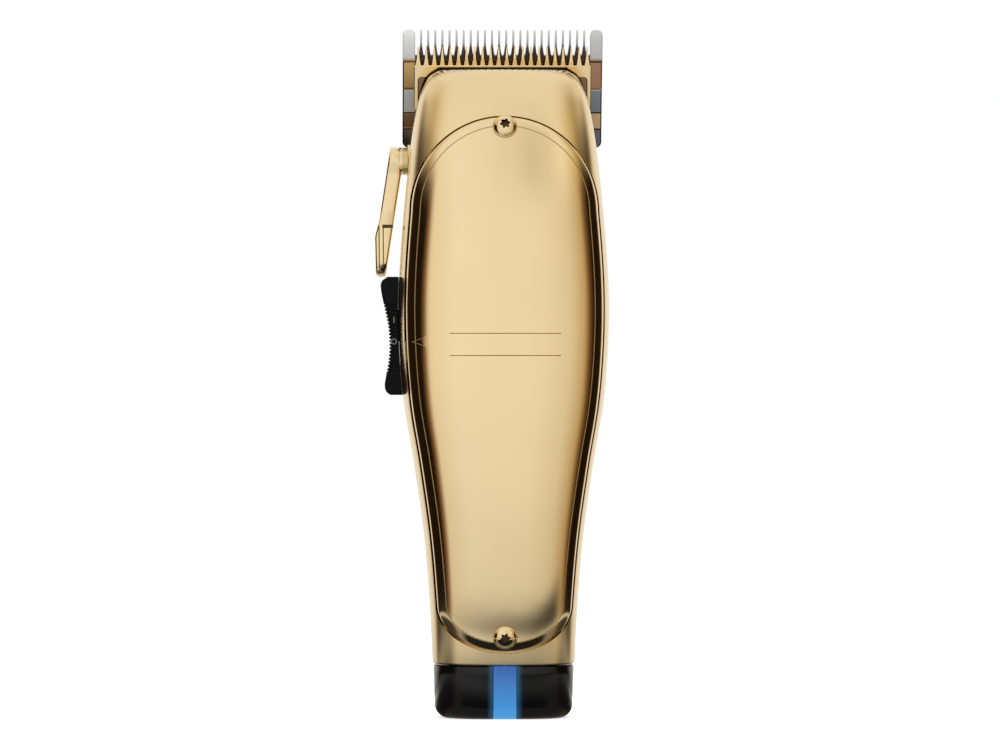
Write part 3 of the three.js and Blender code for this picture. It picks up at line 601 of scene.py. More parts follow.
def steel_finishes():
    steel = colours().steel
    plain_finish("blade_steel", steel, 1, 0.2, "brushed_lines", 2200, 0.1, 0.06)
    plain_finish("steel", shade(steel, 0.9), 1, 0.24, "brushed_lines", 1600, 0.1, 0.05)
    plain_finish("dark_steel", (0.1, 0.1, 0.105), 1, 0.38, "moulded_grain", 1800, 0.12, 0.08)
    # painted shade: a dark brown in place of the shade in the screws' sockets and the lever's grooves
    plain_finish("painted_recess_shade", (0.09, 0.055, 0.025), 1, 0.4, "moulded_grain", 2000, 0.1, 0.05)
    plain_finish("brass", (0.74, 0.55, 0.26), 1, 0.3, "brushed_lines", 1600, 0.12, 0.05)
    plain_finish("copper", (0.66, 0.33, 0.17), 1, 0.34, "brushed_lines", 1400, 0.12, 0.06)


def plastic_finishes():
    black = colours().black
    matte = plain_finish("matte_black", black, 0, 0.5, "moulded_grain", 2600, 0.16, 0.2)
    matte.inputs["Specular IOR Level"].default_value = 0.07
    plain_finish("white_plastic", (0.74, 0.73, 0.69), 0, 0.45, "moulded_grain", 2200, 0.12, 0.1)
    plain_finish("red_plastic", (0.42, 0.02, 0.02), 0, 0.4, "moulded_grain", 2200, 0.1, 0.08)
    plain_finish("battery_wrap", (0.03, 0.11, 0.38), 0, 0.3, "handling_marks", 140, 0.1, 0.05)
    plain_finish("board_green", (0.015, 0.12, 0.05), 0, 0.35, "moulded_grain", 1500, 0.12, 0.06)
    plain_finish("mark_grey", (0.2, 0.2, 0.2), 0, 0.5, "moulded_grain", 2200, 0.1, 0.05)


def gloss_black_finish():
    """Gloss black plastic, with the light band's glow on the plastic beside it."""
    tree, shader, place = new_finish("gloss_black", colours().black, 0, 0.12)
    shader.inputs["Specular IOR Level"].default_value = 0.3
    apply_surface(tree, shader, place, "handling_marks", 50, 0.12, 0.05, 0.0)
    parts = split(tree, (place, "Object"))
    reach = math_node(tree, "ABSOLUTE", (parts, "X"))
    fade = ranged(tree, (reach, 0), GLOW_REACH[0] * MM, GLOW_REACH[1] * MM, "SMOOTHERSTEP", (1, 0))
    in_front = math_node(tree, "LESS_THAN", (parts, "Y"), GLOW_FRONT * MM)
    mask = math_node(tree, "MULTIPLY", (fade, 0), (in_front, 0))
    glow = color_mix(tree, mask, (0, 0, 0), colours().glow_bottom)
    wire(tree, glow, 2, shader, "Emission Color")
    shader.inputs["Emission Strength"].default_value = 0.22


def light_band_finish():
    """Translucent band lit from behind: deeper blue at the top and lighter at the foot."""
    tree, shader, place = new_finish("light_blue", (0.02, 0.06, 0.16), 0, 0.18)
    apply_surface(tree, shader, place, "moulded_grain", 900, 0.18, 0.05, 0.05)
    parts = split(tree, (place, "Object"))
    height = ranged(tree, (parts, "Z"), 0.5 * MM, CAP_TOP * MM)
    stops = ((0, colours().glow_bottom), (1, colours().glow_top))
    wire(tree, color_ramp(tree, (height, 0), stops), "Color", shader, "Emission Color")
    shader.inputs["Emission Strength"].default_value = 1.0


class CLIPPER_OT_finishes(bpy.types.Operator):
    """Builds the shader groups and every finish, and gives the CAD pieces theirs"""

    bl_idname = "clipper.finishes"
    bl_label = "Finishes"

    def execute(self, context):
        for name, values in SURFACES.items():
            surface_group(name, *values)
        gold_finishes()
        steel_finishes()
        plastic_finishes()
        gloss_black_finish()
        light_band_finish()
        for part in frame["record"]["subparts"]:
            node = frame["nodes"][part["node"]]
            node.data.materials.clear()
            node.data.materials.append(FINISHES[part["material_slot"]])
        return {"FINISHED"}


# ------------------------------------------------------------------ the cover's outline


def cover_half(z):
    """Half width of the cover: it follows the body's side between two half-ellipses."""
    inset = sizes().cover_inset / MM
    if z > COVER_UPPER_END:
        rise = min((z - COVER_UPPER_END) / (COVER_TOP - COVER_UPPER_END), 1)
        return (half_width(COVER_UPPER_END) - inset) * math.sqrt(1 - rise * rise)
    if z < COVER_LOWER_END:
        drop = min((COVER_LOWER_END - z) / (COVER_LOWER_END - COVER_BOTTOM), 1)
        return (half_width(COVER_LOWER_END) - inset) * math.sqrt(1 - drop * drop)
    return half_width(z) - inset


def cover_edge(turn):
    """x and z of the outline: up the right side from the bottom, and down the left."""
    turn = turn % 1
    side = 1 if turn <= 0.5 else -1
    up = 2 * turn if turn <= 0.5 else 2 - 2 * turn
    lower, upper = 0.2, 0.72  # shares of the way at which the two ends start
    if up < lower:
        z = COVER_LOWER_END - (COVER_LOWER_END - COVER_BOTTOM) * math.cos(math.pi / 2 * up / lower)
    elif up > upper:
        rise = math.sin(math.pi / 2 * (up - upper) / (1 - upper))
        z = COVER_UPPER_END + (COVER_TOP - COVER_UPPER_END) * rise
    else:
        z = COVER_LOWER_END + (COVER_UPPER_END - COVER_LOWER_END) * (up - lower) / (upper - lower)
    return Vector((side * cover_half(z), z))


def cover_loop(margin, proud, share=1.0, foot_drop=0.0):
    """A ring on the front surface: the outline grown by margin, then drawn in to a share of its size."""

    def at(turn):
        step = 0.0015
        along = cover_edge(turn + step) - cover_edge(turn - step)
        outward = Vector((along.y, -along.x)).normalized()
        edge = cover_edge(turn) + outward * margin
        spine = Vector((0, min(max(edge.y, COVER_LOWER_END), COVER_UPPER_END)))
        x, z = spine + (edge - spine) * share
        foot = min(max((COVER_FOOT - z) / COVER_FOOT_FADE, 0), 1)
        return on_front(x, z, proud + foot_drop * foot)

    return at


SHARES = (0, 0.12, 0.24, 0.36, 0.48, 0.6, 0.7, 0.8, 0.88, 0.94, 1)  # rings from the middle to the rim


def cover_recess():
    """The room that the cover sits in, open to the front."""
    seam = sizes().cover_seam / MM
    chamfer = 0.12
    floor = -1.5
    outside = [cover_loop(seam + chamfer, 1.6, share) for share in SHARES]
    walls = [cover_loop(seam + chamfer, 0.02), cover_loop(seam, -chamfer), cover_loop(seam, floor)]
    inside = [cover_loop(seam, floor, share) for share in reversed(SHARES[:-1])]
    return sweep(COVER_LANES, outside + walls + inside, caps=False)


# ------------------------------------------------------------------ housing


def body_rings(heights, inset=0.0):
    return [section_ring(z, inset) for z in heights]


def housing_cavity():
    """The hollow inside, less the deck that carries the blades."""
    heights = [10, *steps(HOUSING_BOTTOM, 139, 12), 143, 146, 149, 152.8]
    cavity = piece_from(sweep(64, body_rings(heights, WALL)), "cavity")
    across = (-26, 26)
    deck = [
        block(across, (DECK_BACK, 8), (POCKET_FLOOR - WALL, POCKET_FLOOR + 1)),
        block(across, (DECK_BACK, DECK_FACE + 1), (POCKET_FLOOR, 13.4)),
    ]
    carve(cavity, [moved(bm, BLADE_FRAME) for bm in deck])
    bm = bmesh.new()
    bm.from_mesh(cavity.data)
    bpy.data.objects.remove(cavity)
    bmesh.ops.scale(bm, vec=(1 / MM,) * 3, verts=bm.verts)
    return bm


def blade_openings():
    """The pocket that the blades slide in, and the openings through its deck."""
    through = (DECK_BACK - 1, DECK_FACE + 1)
    pocket = block((-40, 40), (DECK_FACE, 30), (POCKET_FLOOR, 60))
    crank_room = block((-19.4, -12.6), through, (POCKET_FLOOR, 4.2))
    rocker_room = block((-7, 7), through, (9.4, 14))
    pin_hole = rod(1.8, through, "Y", (0, 4.4))
    return [moved(bm, BLADE_FRAME) for bm in (pocket, crank_room, rocker_room, pin_hole)]


def build_housing():
    """The shell, its rings closer together over the nose, with the lever's boss and every opening."""
    lower = steps(HOUSING_BOTTOM + 0.35, 139.5, 84)
    head = steps(140.5, 150.5, 12) + steps(151.2, HOUSING_TOP - 0.25, 12)
    rings = [section_ring(HOUSING_BOTTOM, 0.3), *body_rings(lower + head), section_ring(HOUSING_TOP, 0.1)]
    housing = piece_from(sweep(BODY_LANES, rings), "clipper_housing")
    carve(housing, [lever_boss()], "UNION")
    ends = [rounded((-2.6, 2.6), (84.6, 98.0), 1.2, lambda a, b, x=x: (x, a, b)) for x in (-30, -20)]
    switch_slot = sweep(24, ends)
    lever_hole = rod(3.6, (-30, -15), "X", LEVER_AXIS, 32)
    carve(housing, [housing_cavity(), cover_recess(), *blade_openings(), switch_slot, lever_hole])
    show(housing, "housing", "satin_gold", "satin_gold", "housing", angle=32)


def lever_boss():
    """The low round boss that the lever's bush stands in, with a soft edge."""
    bm = turned([(0, -6), (4.15, -6), (4.15, -0.5), (4.0, -0.15), (3.85, 0), (0, 0)], 40)
    face = Matrix.Translation((BOSS_FACE, *LEVER_AXIS))
    return moved(bm, face @ Matrix.Rotation(-math.pi / 2, 4, "Y"))


class CLIPPER_OT_housing(bpy.types.Operator):
    """Builds the satin gold housing"""

    bl_idname = "clipper.housing"
    bl_label = "Housing"

    def execute(self, context):
        build_housing()
        return {"FINISHED"}


# ------------------------------------------------------------------ cover

LINE_HEIGHTS = (91.95, 86.7)
LINE_HALF_LENGTH = 13.2
SCREW_HEIGHTS = {"bottom": 19.7, "top": 141.1}
SEAT_RADIUS = 2.93
SEAT_DEPTH = 0.4
HEAD_RIM = 0.4  # height of a cover screw's straight rim over its seat
DOME_TOP = 2.35


def engraved_line(z):
    """A shallow V groove across the cover, as a shape to cut with."""
    proud = sizes().cover_proud / MM
    profile = ((-0.4, 0.3), (0.4, 0.3), (0, -0.14))
    rings = []
    for x in steps(-LINE_HALF_LENGTH, LINE_HALF_LENGTH, 28):
        rings.append(cornered([on_front(x, z + up, proud + height) for up, height in profile]))
    return sweep(3, rings)


def engraved_pointer(tip, base, z, half_height):
    """A triangle's outline beside the switch, as a shape to cut with."""
    proud = sizes().cover_proud / MM
    per_side = 6

    def ring_at(grow, height):
        reach = half_height + 1.4 * grow
        corners = [
            Vector((tip - 2.1 * grow, z)),
            Vector((base + grow, z - reach)),
            Vector((base + grow, z + reach)),
        ]

        def at(turn):
            side = int(turn * 3 + 1e-6)
            x, up = corners[side % 3].lerp(corners[(side + 1) % 3], turn * 3 - side)
            return on_front(x, up, proud + height)

        return at

    profile = ((0.26, 0.3), (-0.26, 0.3), (-0.05, -0.14), (0.05, -0.14), (0.26, 0.3))
    return sweep(3 * per_side, [ring_at(*corner) for corner in profile], caps=False)


def engraved_ring():
    """The fine groove between the cover's ring and its face, as a shape to cut with."""
    proud = sizes().cover_proud / MM
    middle = -sizes().ring_width / MM
    profile = ((-0.25, 0.2), (-0.05, -0.1), (0.05, -0.1), (0.25, 0.2), (-0.25, 0.2))
    rings = [cover_loop(middle + across, proud + height) for across, height in profile]
    return sweep(COVER_LANES, rings, caps=False)


def screw_placement(z):
    """Stands a shape along Z onto the cover's seat at a height."""
    seat = Vector((0, front(z) - sizes().cover_proud / MM + SEAT_DEPTH, z))
    return Matrix.Translation(seat) @ Matrix.Rotation(math.pi / 2 - front_lean(z), 4, "X")


def build_cover():
    """The domed cover, from its face over a soft rim to its underside."""
    proud = sizes().cover_proud / MM
    face = [cover_loop(-2.6, proud, share) for share in SHARES]
    profile = (  # margin, height from the face, lean at the foot
        (-1.95, 0, 0), (-1.3, 0, -0.14), (-0.6, -0.01, -0.29), (-0.3, -0.05, -0.35),
        (-0.12, -0.14, -0.37), (-0.03, -0.26, -0.36), (0, -0.45, -0.3), (0, -proud - 1.1, 0),
        (-0.1, -proud - 1.2, 0),
    )
    rim = [cover_loop(margin, proud + drop, foot_drop=lean) for margin, drop, lean in profile]
    under = [cover_loop(-0.1, -1.2, share) for share in reversed(SHARES[:-1])]
    cover = piece_from(sweep(COVER_LANES, face + rim + under, caps=False), "cover_plate_polished")
    coat(cover, "polished_gold")
    cuts = [engraved_ring(), *(engraved_line(z) for z in LINE_HEIGHTS)]
    cuts.append(engraved_pointer(tip=-22.1, base=-19.4, z=90.0, half_height=0.95))
    for z in SCREW_HEIGHTS.values():
        cuts.append(moved(rod(SEAT_RADIUS, (0, 4), sides=48), screw_placement(z)))
    carve(cover, cuts, finish="etched_gold")
    show(cover, "housing", "polished_gold", "polished_gold", "cover_plate", angle=28)


def screw_head(radius):
    """A domed head with a six-lobed socket, standing along Z with its seat at 0."""
    profile = [(0, -3.2), (1.5, -3.2), (1.5, 0), (radius - 0.1, 0), (radius, 0.12), (radius, HEAD_RIM)]
    for angle in steps(0, math.pi / 2, 9)[:-1]:
        height = HEAD_RIM + (DOME_TOP - HEAD_RIM) * math.sin(angle)
        profile.append((radius * math.cos(angle), height))
    return turned([*profile, (0, DOME_TOP)], 48)


def star_socket(radius, depth, top):
    """A six-lobed recess, as a shape to cut with."""
    lobe = 0.16
    tilt = 0.2

    def ring_at(z, grow):
        def at(turn):
            reach = (radius + grow) * (1 - lobe + lobe * math.cos(12 * math.pi * turn))
            angle = 2 * math.pi * turn + tilt
            return Vector((reach * math.cos(angle), reach * math.sin(angle), z))

        return at

    walls = ((top + 1, 0.2), (top - 0.2, 0), (top - depth, -0.1))
    return sweep(48, [ring_at(*wall) for wall in walls])


def build_cover_screw(end, z):
    head = piece_from(screw_head(sizes().screw_radius / MM), f"cover_screw_dome_{end}")
    coat(head, "screw_gold")
    # the socket's cut faces take painted shade, a dark brown
    carve(head, [star_socket(1.3, 1.1, DOME_TOP)], finish="painted_recess_shade")
    put(head, screw_placement(z))
    show(head, "housing", "gold_steel", "screw_gold", f"cover_screw_{end}", angle=40)


class CLIPPER_OT_cover(bpy.types.Operator):
    """Builds the polished cover with its ring, engraved lines and two screws"""

    bl_idname = "clipper.cover"
    bl_label = "Cover"

    def execute(self, context):
        build_cover()
        for end, z in SCREW_HEIGHTS.items():
            build_cover_screw(end, z)
        return {"FINISHED"}


# ------------------------------------------------------------------ base

BASE_SCREW = (12.2, 3.5)  # x of the right one, and y
CONTACT_SIDE = 6.0  # x of the right charging contact
BAND_HALF = 2.72
BAND_BACK = -9.9


def cap_inset(z):
    """How far the base's side lies inside the body's section: a slight taper and a rounded foot."""
    taper = 0.15 + 0.5 * (CAP_TOP - z) / CAP_TOP
    rise = max(CAP_CORNER - z, 0)
    return taper + CAP_CORNER - math.sqrt(CAP_CORNER**2 - rise**2)


def cap_heights(count):
    """Heights up the base's rounded foot, count of them, and on towards its top."""
    foot = [CAP_CORNER * (1 - math.cos(angle)) for angle in steps(0, math.pi / 2, count)]
    return [*foot, 5, 8, 10.5]


def build_base():
    """The base with a chamfered rim and a collar that plugs into the housing."""
    rings = [section_ring(z, cap_inset(z)) for z in (*cap_heights(14), CAP_TOP - 0.5)]
    rings.append(section_ring(CAP_TOP - 0.15, cap_inset(CAP_TOP) + 0.08))
    rings.append(section_ring(CAP_TOP, cap_inset(CAP_TOP) + 0.35))
    cap = piece_from(sweep(BODY_LANES, rings), "base_cap_gloss")
    collar = sweep(96, body_rings((CAP_TOP - 1, 16.5, 16.8), 2.8))
    carve(cap, [collar], "UNION")
    tools = [
        sweep(64, body_rings((2.4, 20), 4.6)),
        block((-2.9, 2.9), (-20, -9.6), (-1, CAP_TOP + 1)),
        block((-5.6, 5.6), (-20, -9), (CAP_TOP, 20)),
    ]
    for side in SIDES.values():
        middle = side * CONTACT_SIDE
        contact_room = block((middle - 1.8, middle + 1.8), (1.7, 7.3), (-1, 4))
        screw_room = rod(2.5, (-1, 2.2), "Z", (side * BASE_SCREW[0], BASE_SCREW[1]), 32)
        tools += [contact_room, screw_room]
    carve(cap, tools)
    show(cap, "housing", "gloss_black", "gloss_black", "base_cap")


def build_light_band():
    """The lit band: it follows the base's rounded front from the foot to the housing."""
    across = steps(-BAND_HALF, BAND_HALF, 20)
    chamfer = 0.12
    rings = []
    for z in (*cap_heights(10), CAP_TOP):
        points = [on_front(x, z, -cap_inset(z) - 0.03) for x in across]
        points[0].y += chamfer
        points[-1].y += chamfer
        rings.append(cornered(points + [Vector((x, BAND_BACK, z)) for x in across[-2:0:-1]]))
    band = piece_from(sweep(2 * len(across) - 2, rings), "light_band")
    show(band, "housing", "light_blue", "light_blue", "light_pipe")


class CLIPPER_OT_base(bpy.types.Operator):
    """Builds the gloss black base and its light band"""

    bl_idname = "clipper.base"
    bl_label = "Base"

    def execute(self, context):
        build_base()
        build_light_band()
        return {"FINISHED"}


# ------------------------------------------------------------------ blades, in the blade frame

COMB_HALF = 24.1
COMB_LENGTH = 29.44
COMB_ROOT = 23.2
COMB_PITCH = 1.71
COMB_THICK = 3.0
BEVEL_START = (3.2, 16.5)  # y and z from which the comb's back slopes towards the tips
BEVEL_SLOPE = 2.1 / 14.5
SIDE_TOOTH = 3.0  # width of the teeth at the comb's two ends
BLADE_SCREW = (10, 4.2)  # x of the right one, and z
MARGIN_STEPS = ((21.6, 0.35, 0.5), (14.9, 0.45, 0.5), (8.9, 0.35, 0.4), (4.8, 0.35, 0.4))
CUTTER_HALF = 21.35
CUTTER_FACE = -2.3
CUTTER_BOTTOM = 10.4
CUTTER_ROOT = 21.4
CUTTER_TIP = 25.76
RECESS_DEPTH = 0.6
RECESS_TOP = 18.6


def comb_back(u):
    """How thick the comb is at a height: it thins towards the tips."""
    return min(COMB_THICK, BEVEL_START[0] - (u - BEVEL_START[1]) * BEVEL_SLOPE)


def tooth(x, halves, fronts, backs, corner=0.06):
    """A tapered tooth through (height, half width) stations; fronts and backs give its thickness."""
    rings = []
    for (u, half), n0, n1 in zip(halves, fronts, backs):
        rings.append(rounded((x - half, x + half), (n0, n1), corner, lambda a, b, u=u: (a, b, u), 8))
    return sweep(8, rings)


def comb_tooth(x):
    """A slim tooth, rooted inside the plate and bevelled at its tip."""
    halves = (
        (COMB_ROOT - 1.2, 0.5), (COMB_ROOT, 0.62), (COMB_ROOT + 1.2, 0.42),
        (COMB_ROOT + 2.6, 0.25), (COMB_LENGTH - 0.5, 0.23), (COMB_LENGTH, 0.13),
    )
    fronts = (0.2, 0, 0, 0, 0.05, 0.4)
    backs = [comb_back(u) - 0.02 for u, _ in halves[:-1]] + [1.0]
    backs[0] = 1.6
    return tooth(x, halves, fronts, backs)


def comb_side_tooth(side):
    """The broad tooth at one end of the comb, with a rounded tip."""
    half = SIDE_TOOTH / 2
    middle = side * (COMB_HALF - half)
    halves = (
        (COMB_ROOT - 1.5, half), (COMB_LENGTH - 1.6, half), (COMB_LENGTH - 0.7, half - 0.12),
        (COMB_LENGTH - 0.2, half - 0.45), (COMB_LENGTH, half - 0.9),
    )
    fronts = (0, 0, 0.05, 0.2, 0.45)
    backs = [comb_back(u) - 0.02 for u, _ in halves[:-1]] + [1.0]
    return tooth(middle, halves, fronts, backs, corner=0.15)


def margin_step(u, depth, half_height):
    """A V groove across the comb's front face, as a shape to cut with."""
    profile = ((-half_height, -0.4), (half_height, -0.4), (half_height * 0.3, depth))
    return sweep(3, [cornered([(x, y, u + up) for up, y in profile]) for x in (-30, 30)])


def build_comb():
    """The fixed blade: a plate with a sloped back, its teeth, steps on its face and two screw seats."""
    count = sizes().comb_teeth
    plate = slab((-COMB_HALF, COMB_HALF), (0, COMB_THICK), (0, COMB_ROOT), 1.6, 0.3)
    comb = piece_from(plate, "comb_blade_ground")
    slope = (BEVEL_START, (6, 20), (comb_back(30.5), 30.5))
    carve(comb, [sweep(3, [cornered([(x, *corner) for corner in slope]) for x in (-30, 30)])])
    teeth = [comb_tooth((i - (count - 1) / 2) * COMB_PITCH) for i in range(count)]
    carve(comb, teeth + [comb_side_tooth(side) for side in SIDES.values()], "UNION")
    tools = [margin_step(*values) for values in MARGIN_STEPS]
    for side in SIDES.values():
        at = (side * BLADE_SCREW[0], BLADE_SCREW[1])
        tools += [rod(1.9, (-1, 5), "Y", at), rod(3.6, (1.6, 5), "Y", at, 40)]
    carve(comb, tools)
    put(comb, BLADE_FRAME)
    # the comb's face is coloured with painted reflections and painted shade
    show(comb, "comb", "blade_steel", "comb_steel_painted_light", "comb_blade")


def build_cutter():
    """The moving blade: a plate with a recess at each side of its face, and its teeth."""
    count = sizes().cutter_teeth
    pitch = 2 * CUTTER_HALF / count
    height = (CUTTER_BOTTOM, CUTTER_ROOT)
    plate = slab((-CUTTER_HALF, CUTTER_HALF), (CUTTER_FACE, -GAP), height, 0.6, 0.15)
    cutter = piece_from(plate, "cutter_blade_gold")
    halves = (
        (CUTTER_ROOT - 0.8, 0.6), (CUTTER_ROOT, 0.62), (CUTTER_ROOT + 1.6, 0.34), (CUTTER_TIP, 0.12),
    )
    fronts = (CUTTER_FACE + 0.4, CUTTER_FACE + 0.35, -1.9, -1.2)
    backs = (-GAP - 0.1, -GAP, -GAP, -GAP)
    middles = [CUTTER_HALF - (i + 0.5) * pitch for i in range(count)]
    carve(cutter, [tooth(x, halves, fronts, backs) for x in middles], "UNION")
    tools = []
    for side in SIDES.values():
        across = (side * 13.5 - 7, side * 13.5 + 7)
        depth = (CUTTER_FACE - 1, CUTTER_FACE + RECESS_DEPTH)
        tools.append(slab(across, depth, (9, RECESS_TOP), 1.0, 0.2))
    carve(cutter, tools)
    put(cutter, BLADE_FRAME)
    show(cutter, "cutter", "gold_steel", "cutter_gold", "cutter_blade")


def build_lip_shadow_strip():
    """A dark strip between the housing's lip and the cutter, a painted shadow where the gap's shade falls:
    it follows the lip, a little wider.
    """
    heights = (138, 141, *steps(144, 151, 8), *steps(151.6, 155.3, 8))
    rings = [*body_rings(heights, -0.4), section_ring(155.66, 0.1)]
    # a matte black strip, painted as the shadow in the gap above the lip
    shadow_strip = piece_from(sweep(120, rings), "lip_painted_shadow")
    carve(shadow_strip, [moved(block((-40, 40), (-3.42, -2.72), (10.6, 40)), BLADE_FRAME)], "INTERSECT")
    carve(shadow_strip, [sweep(80, body_rings([136, *steps(140, 152, 8), 153.2], 2.2))])
    show(shadow_strip, "housing", "matte_black", "matte_black")


def build_blade_screw(name, node, side):
    """A slotted screw with a rounded head, from the comb's back into its carrier."""
    profile = [
        (0, -3), (1.4, -3), (1.4, 1.9), (3.1, 1.9), (3.2, 2.0), (3.2, 2.9), (3.0, 3.3), (2.4, 3.5),
        (0, 3.5),
    ]
    screw = piece_from(turned(profile, 40), name)
    slot = block((-4, 4), (-0.42, 0.42), (2.6, 5))
    carve(screw, [moved(slot, Matrix.Rotation(math.radians(25 * side), 4, "Z"))])
    seat = Matrix.Translation((side * BLADE_SCREW[0], 0, BLADE_SCREW[1]))
    put(screw, BLADE_FRAME @ seat @ Matrix.Rotation(-math.pi / 2, 4, "X"))
    show(screw, "comb", "steel", "steel", node)


class CLIPPER_OT_blades(bpy.types.Operator):
    """Builds the comb, the cutter and the two screws that hold the comb"""

    bl_idname = "clipper.blades"
    bl_label = "Blades"

    def execute(self, context):
        comb_finish()
        cutter_finish()
        # the dark strip under the cutter is a painted shadow
        build_lip_shadow_strip()
        build_comb()
        build_cutter()
        for suffix, side in SIDES.items():
            build_blade_screw(f"comb_screw_{suffix}", f"blade_screw_{suffix}", side)
        return {"FINISHED"}


PAINTED_LIGHT_DEPTH = 0.9  # how far behind the comb's face its painted reflections and painted shade reach
# The comb's painted reflections and painted shade by the height up its face: dark bands and warm and bluish
# painted reflections between the steps, painted highlights at the tips, and a right end painted darker than
# the left. The stretch between its two end teeth has painted shade at the roots, behind the cutter.
LEFT_PAINTED_LIGHT = (
    (0.0, (0.05, 0.045, 0.04)), (3.4, (0.09, 0.09, 0.09)), (4.6, (0.1, 0.08, 0.09)),
    (4.8, (0.33, 0.25, 0.15)), (5.5, (0.12, 0.06, 0.03)), (8.6, (0.16, 0.09, 0.045)),
    (9.0, (0.34, 0.34, 0.33)), (14.2, (0.38, 0.38, 0.38)), (14.8, (0.5, 0.44, 0.33)),
    (15.3, (0.31, 0.2, 0.07)), (21.4, (0.54, 0.37, 0.15)), (22.1, (0.33, 0.24, 0.13)),
    (22.6, (0.6, 0.59, 0.58)), (COMB_LENGTH, (0.84, 0.84, 0.85)),
)
RIGHT_PAINTED_LIGHT = (
    (0.0, (0.13, 0.14, 0.17)), (4.7, (0.13, 0.14, 0.17)), (4.9, (0.5, 0.34, 0.2)),
    (8.8, (0.5, 0.36, 0.22)), (9.0, (0.17, 0.19, 0.22)), (14.4, (0.2, 0.22, 0.25)),
    (14.9, (0.8, 0.7, 0.5)), (15.3, (0.33, 0.19, 0.11)), (21.4, (0.36, 0.21, 0.13)),
    (22.1, (0.3, 0.2, 0.12)), (22.6, (0.52, 0.52, 0.51)), (COMB_LENGTH, (0.62, 0.63, 0.63)),
)
MIDDLE_PAINTED_LIGHT = (
    (0.0, (0.2, 0.22, 0.25)), (18.0, (0.3, 0.2, 0.12)), (21.4, (0.16, 0.09, 0.05)),
    (22.4, (0.05, 0.035, 0.03)), (25.2, (0.08, 0.07, 0.07)), (26.4, (0.4, 0.4, 0.41)),
    (COMB_LENGTH, (0.62, 0.63, 0.64)),
)


def blade_coordinates(tree, place):
    """Object coordinates turned into the blades' own frame."""
    turn = tree.nodes.new("ShaderNodeMapping")
    turn.vector_type = "TEXTURE"
    turn.inputs["Location"].default_value = BLADE_ORIGIN * MM
    turn.inputs["Rotation"].default_value = (BLADE_TILT, 0, 0)
    wire(tree, place, "Object", turn, "Vector")
    return split(tree, (turn, 0))


def comb_finish():
    """Ground steel whose front face carries painted reflections in bands, and painted shade in the gaps
    behind the cutter.
    """
    steel = colours().steel
    tree, shader, place = new_finish("comb_steel_painted_light", steel, 1, 0.2)
    apply_surface(tree, shader, place, "brushed_lines", 2200, 0.2, 0.1, 0.06)
    parts = blade_coordinates(tree, place)
    height = ranged(tree, (parts, "Z"), 0, COMB_LENGTH * MM)
    # ramps of painted reflections and painted shade up the face, one for each end and one for the middle
    left, right, middle = (
        color_ramp(tree, (height, 0), [(u / COMB_LENGTH, color) for u, color in bands])
        for bands in (LEFT_PAINTED_LIGHT, RIGHT_PAINTED_LIGHT, MIDDLE_PAINTED_LIGHT)
    )
    # the right end's painted light is darker: painted shade on that side
    on_right = math_node(tree, "GREATER_THAN", (parts, "X"), 0)
    ends = color_mix(tree, on_right, (left, "Color"), (right, "Color"))
    across = math_node(tree, "ABSOLUTE", (parts, "X"))
    # between the end teeth the ramp paints shade at the roots, behind the cutter
    in_middle = math_node(tree, "LESS_THAN", (across, 0), (COMB_HALF - SIDE_TOOTH) * MM)
    face = color_mix(tree, in_middle, (ends, 2), (middle, "Color"))
    on_face = math_node(tree, "LESS_THAN", (parts, "Y"), PAINTED_LIGHT_DEPTH * MM)
    wire(tree, color_mix(tree, on_face, steel, (face, 2)), 2, shader, "Base Color")


def cutter_finish():
    """Gold-coated steel with a darker brown floor in its two recesses."""
    gold = colours().gold
    tree, shader, place = new_finish("cutter_gold", gold, 1, 0.16)
    apply_surface(tree, shader, place, "brushed_lines", 1800, 0.16, 0.08, 0.05)
    parts = blade_coordinates(tree, place)
    sunk = math_node(tree, "GREATER_THAN", (parts, "Y"), (CUTTER_FACE + RECESS_DEPTH - 0.15) * MM)
    below = math_node(tree, "LESS_THAN", (parts, "Z"), (RECESS_TOP + 0.1) * MM)
    recess = math_node(tree, "MULTIPLY", (sunk, 0), (below, 0))
    wire(tree, color_mix(tree, recess, gold, (0.24, 0.16, 0.1)), 2, shader, "Base Color")


# ------------------------------------------------------------------ taper lever

LEVER_HUB = 3.4  # radius of the lever's round top
COLLAR_RADIUS = 3.3
LEVER_TAB = 3.9  # radius of the round end that a thumb pushes
LEVER_TAB_MIDDLE = 109.5
LEVER_ARM = 2.5  # half of the depth of the slim arm
# The lever's outer and inner face as (height, x).
LEVER_OUTER = ((105.7, -29.9), (106.4, -30.6), (115.4, -30.8), (119.8, -29.7), (137.0, -27.1))
LEVER_INNER = ((105.7, -28.3), (106.0, -28.2), (118, -26.4), (130.2, -24.5), (137.0, -24.5))


def lever_half_depth(z):
    """Half of the lever's depth: a round tab, a slim arm and a round hub."""
    centre = LEVER_AXIS[1]
    if z > centre:
        return math.sqrt(max(LEVER_HUB**2 - (z - centre) ** 2, 0.05))
    if z < LEVER_TAB_MIDDLE:
        return math.sqrt(max(LEVER_TAB**2 - (LEVER_TAB_MIDDLE - z) ** 2, 0.05))
    stations = (
        (LEVER_TAB_MIDDLE, LEVER_TAB), (118, LEVER_TAB), (121.5, LEVER_ARM), (130.5, LEVER_ARM),
        (centre, LEVER_HUB),
    )
    return between(stations, z)


def lever_rings():
    y = LEVER_AXIS[0]
    heights = [
        *steps(105.72, LEVER_TAB_MIDDLE, 12), *steps(110.5, 131, 30)[1:], *steps(131.5, 136.95, 14),
    ]
    rings = []
    for z in heights:
        half = lever_half_depth(z)
        across = (between(LEVER_OUTER, z), between(LEVER_INNER, z))
        rings.append(rounded(across, (y - half, y + half), 0.7, lambda a, b, z=z: (a, b, z), 24))
    return rings


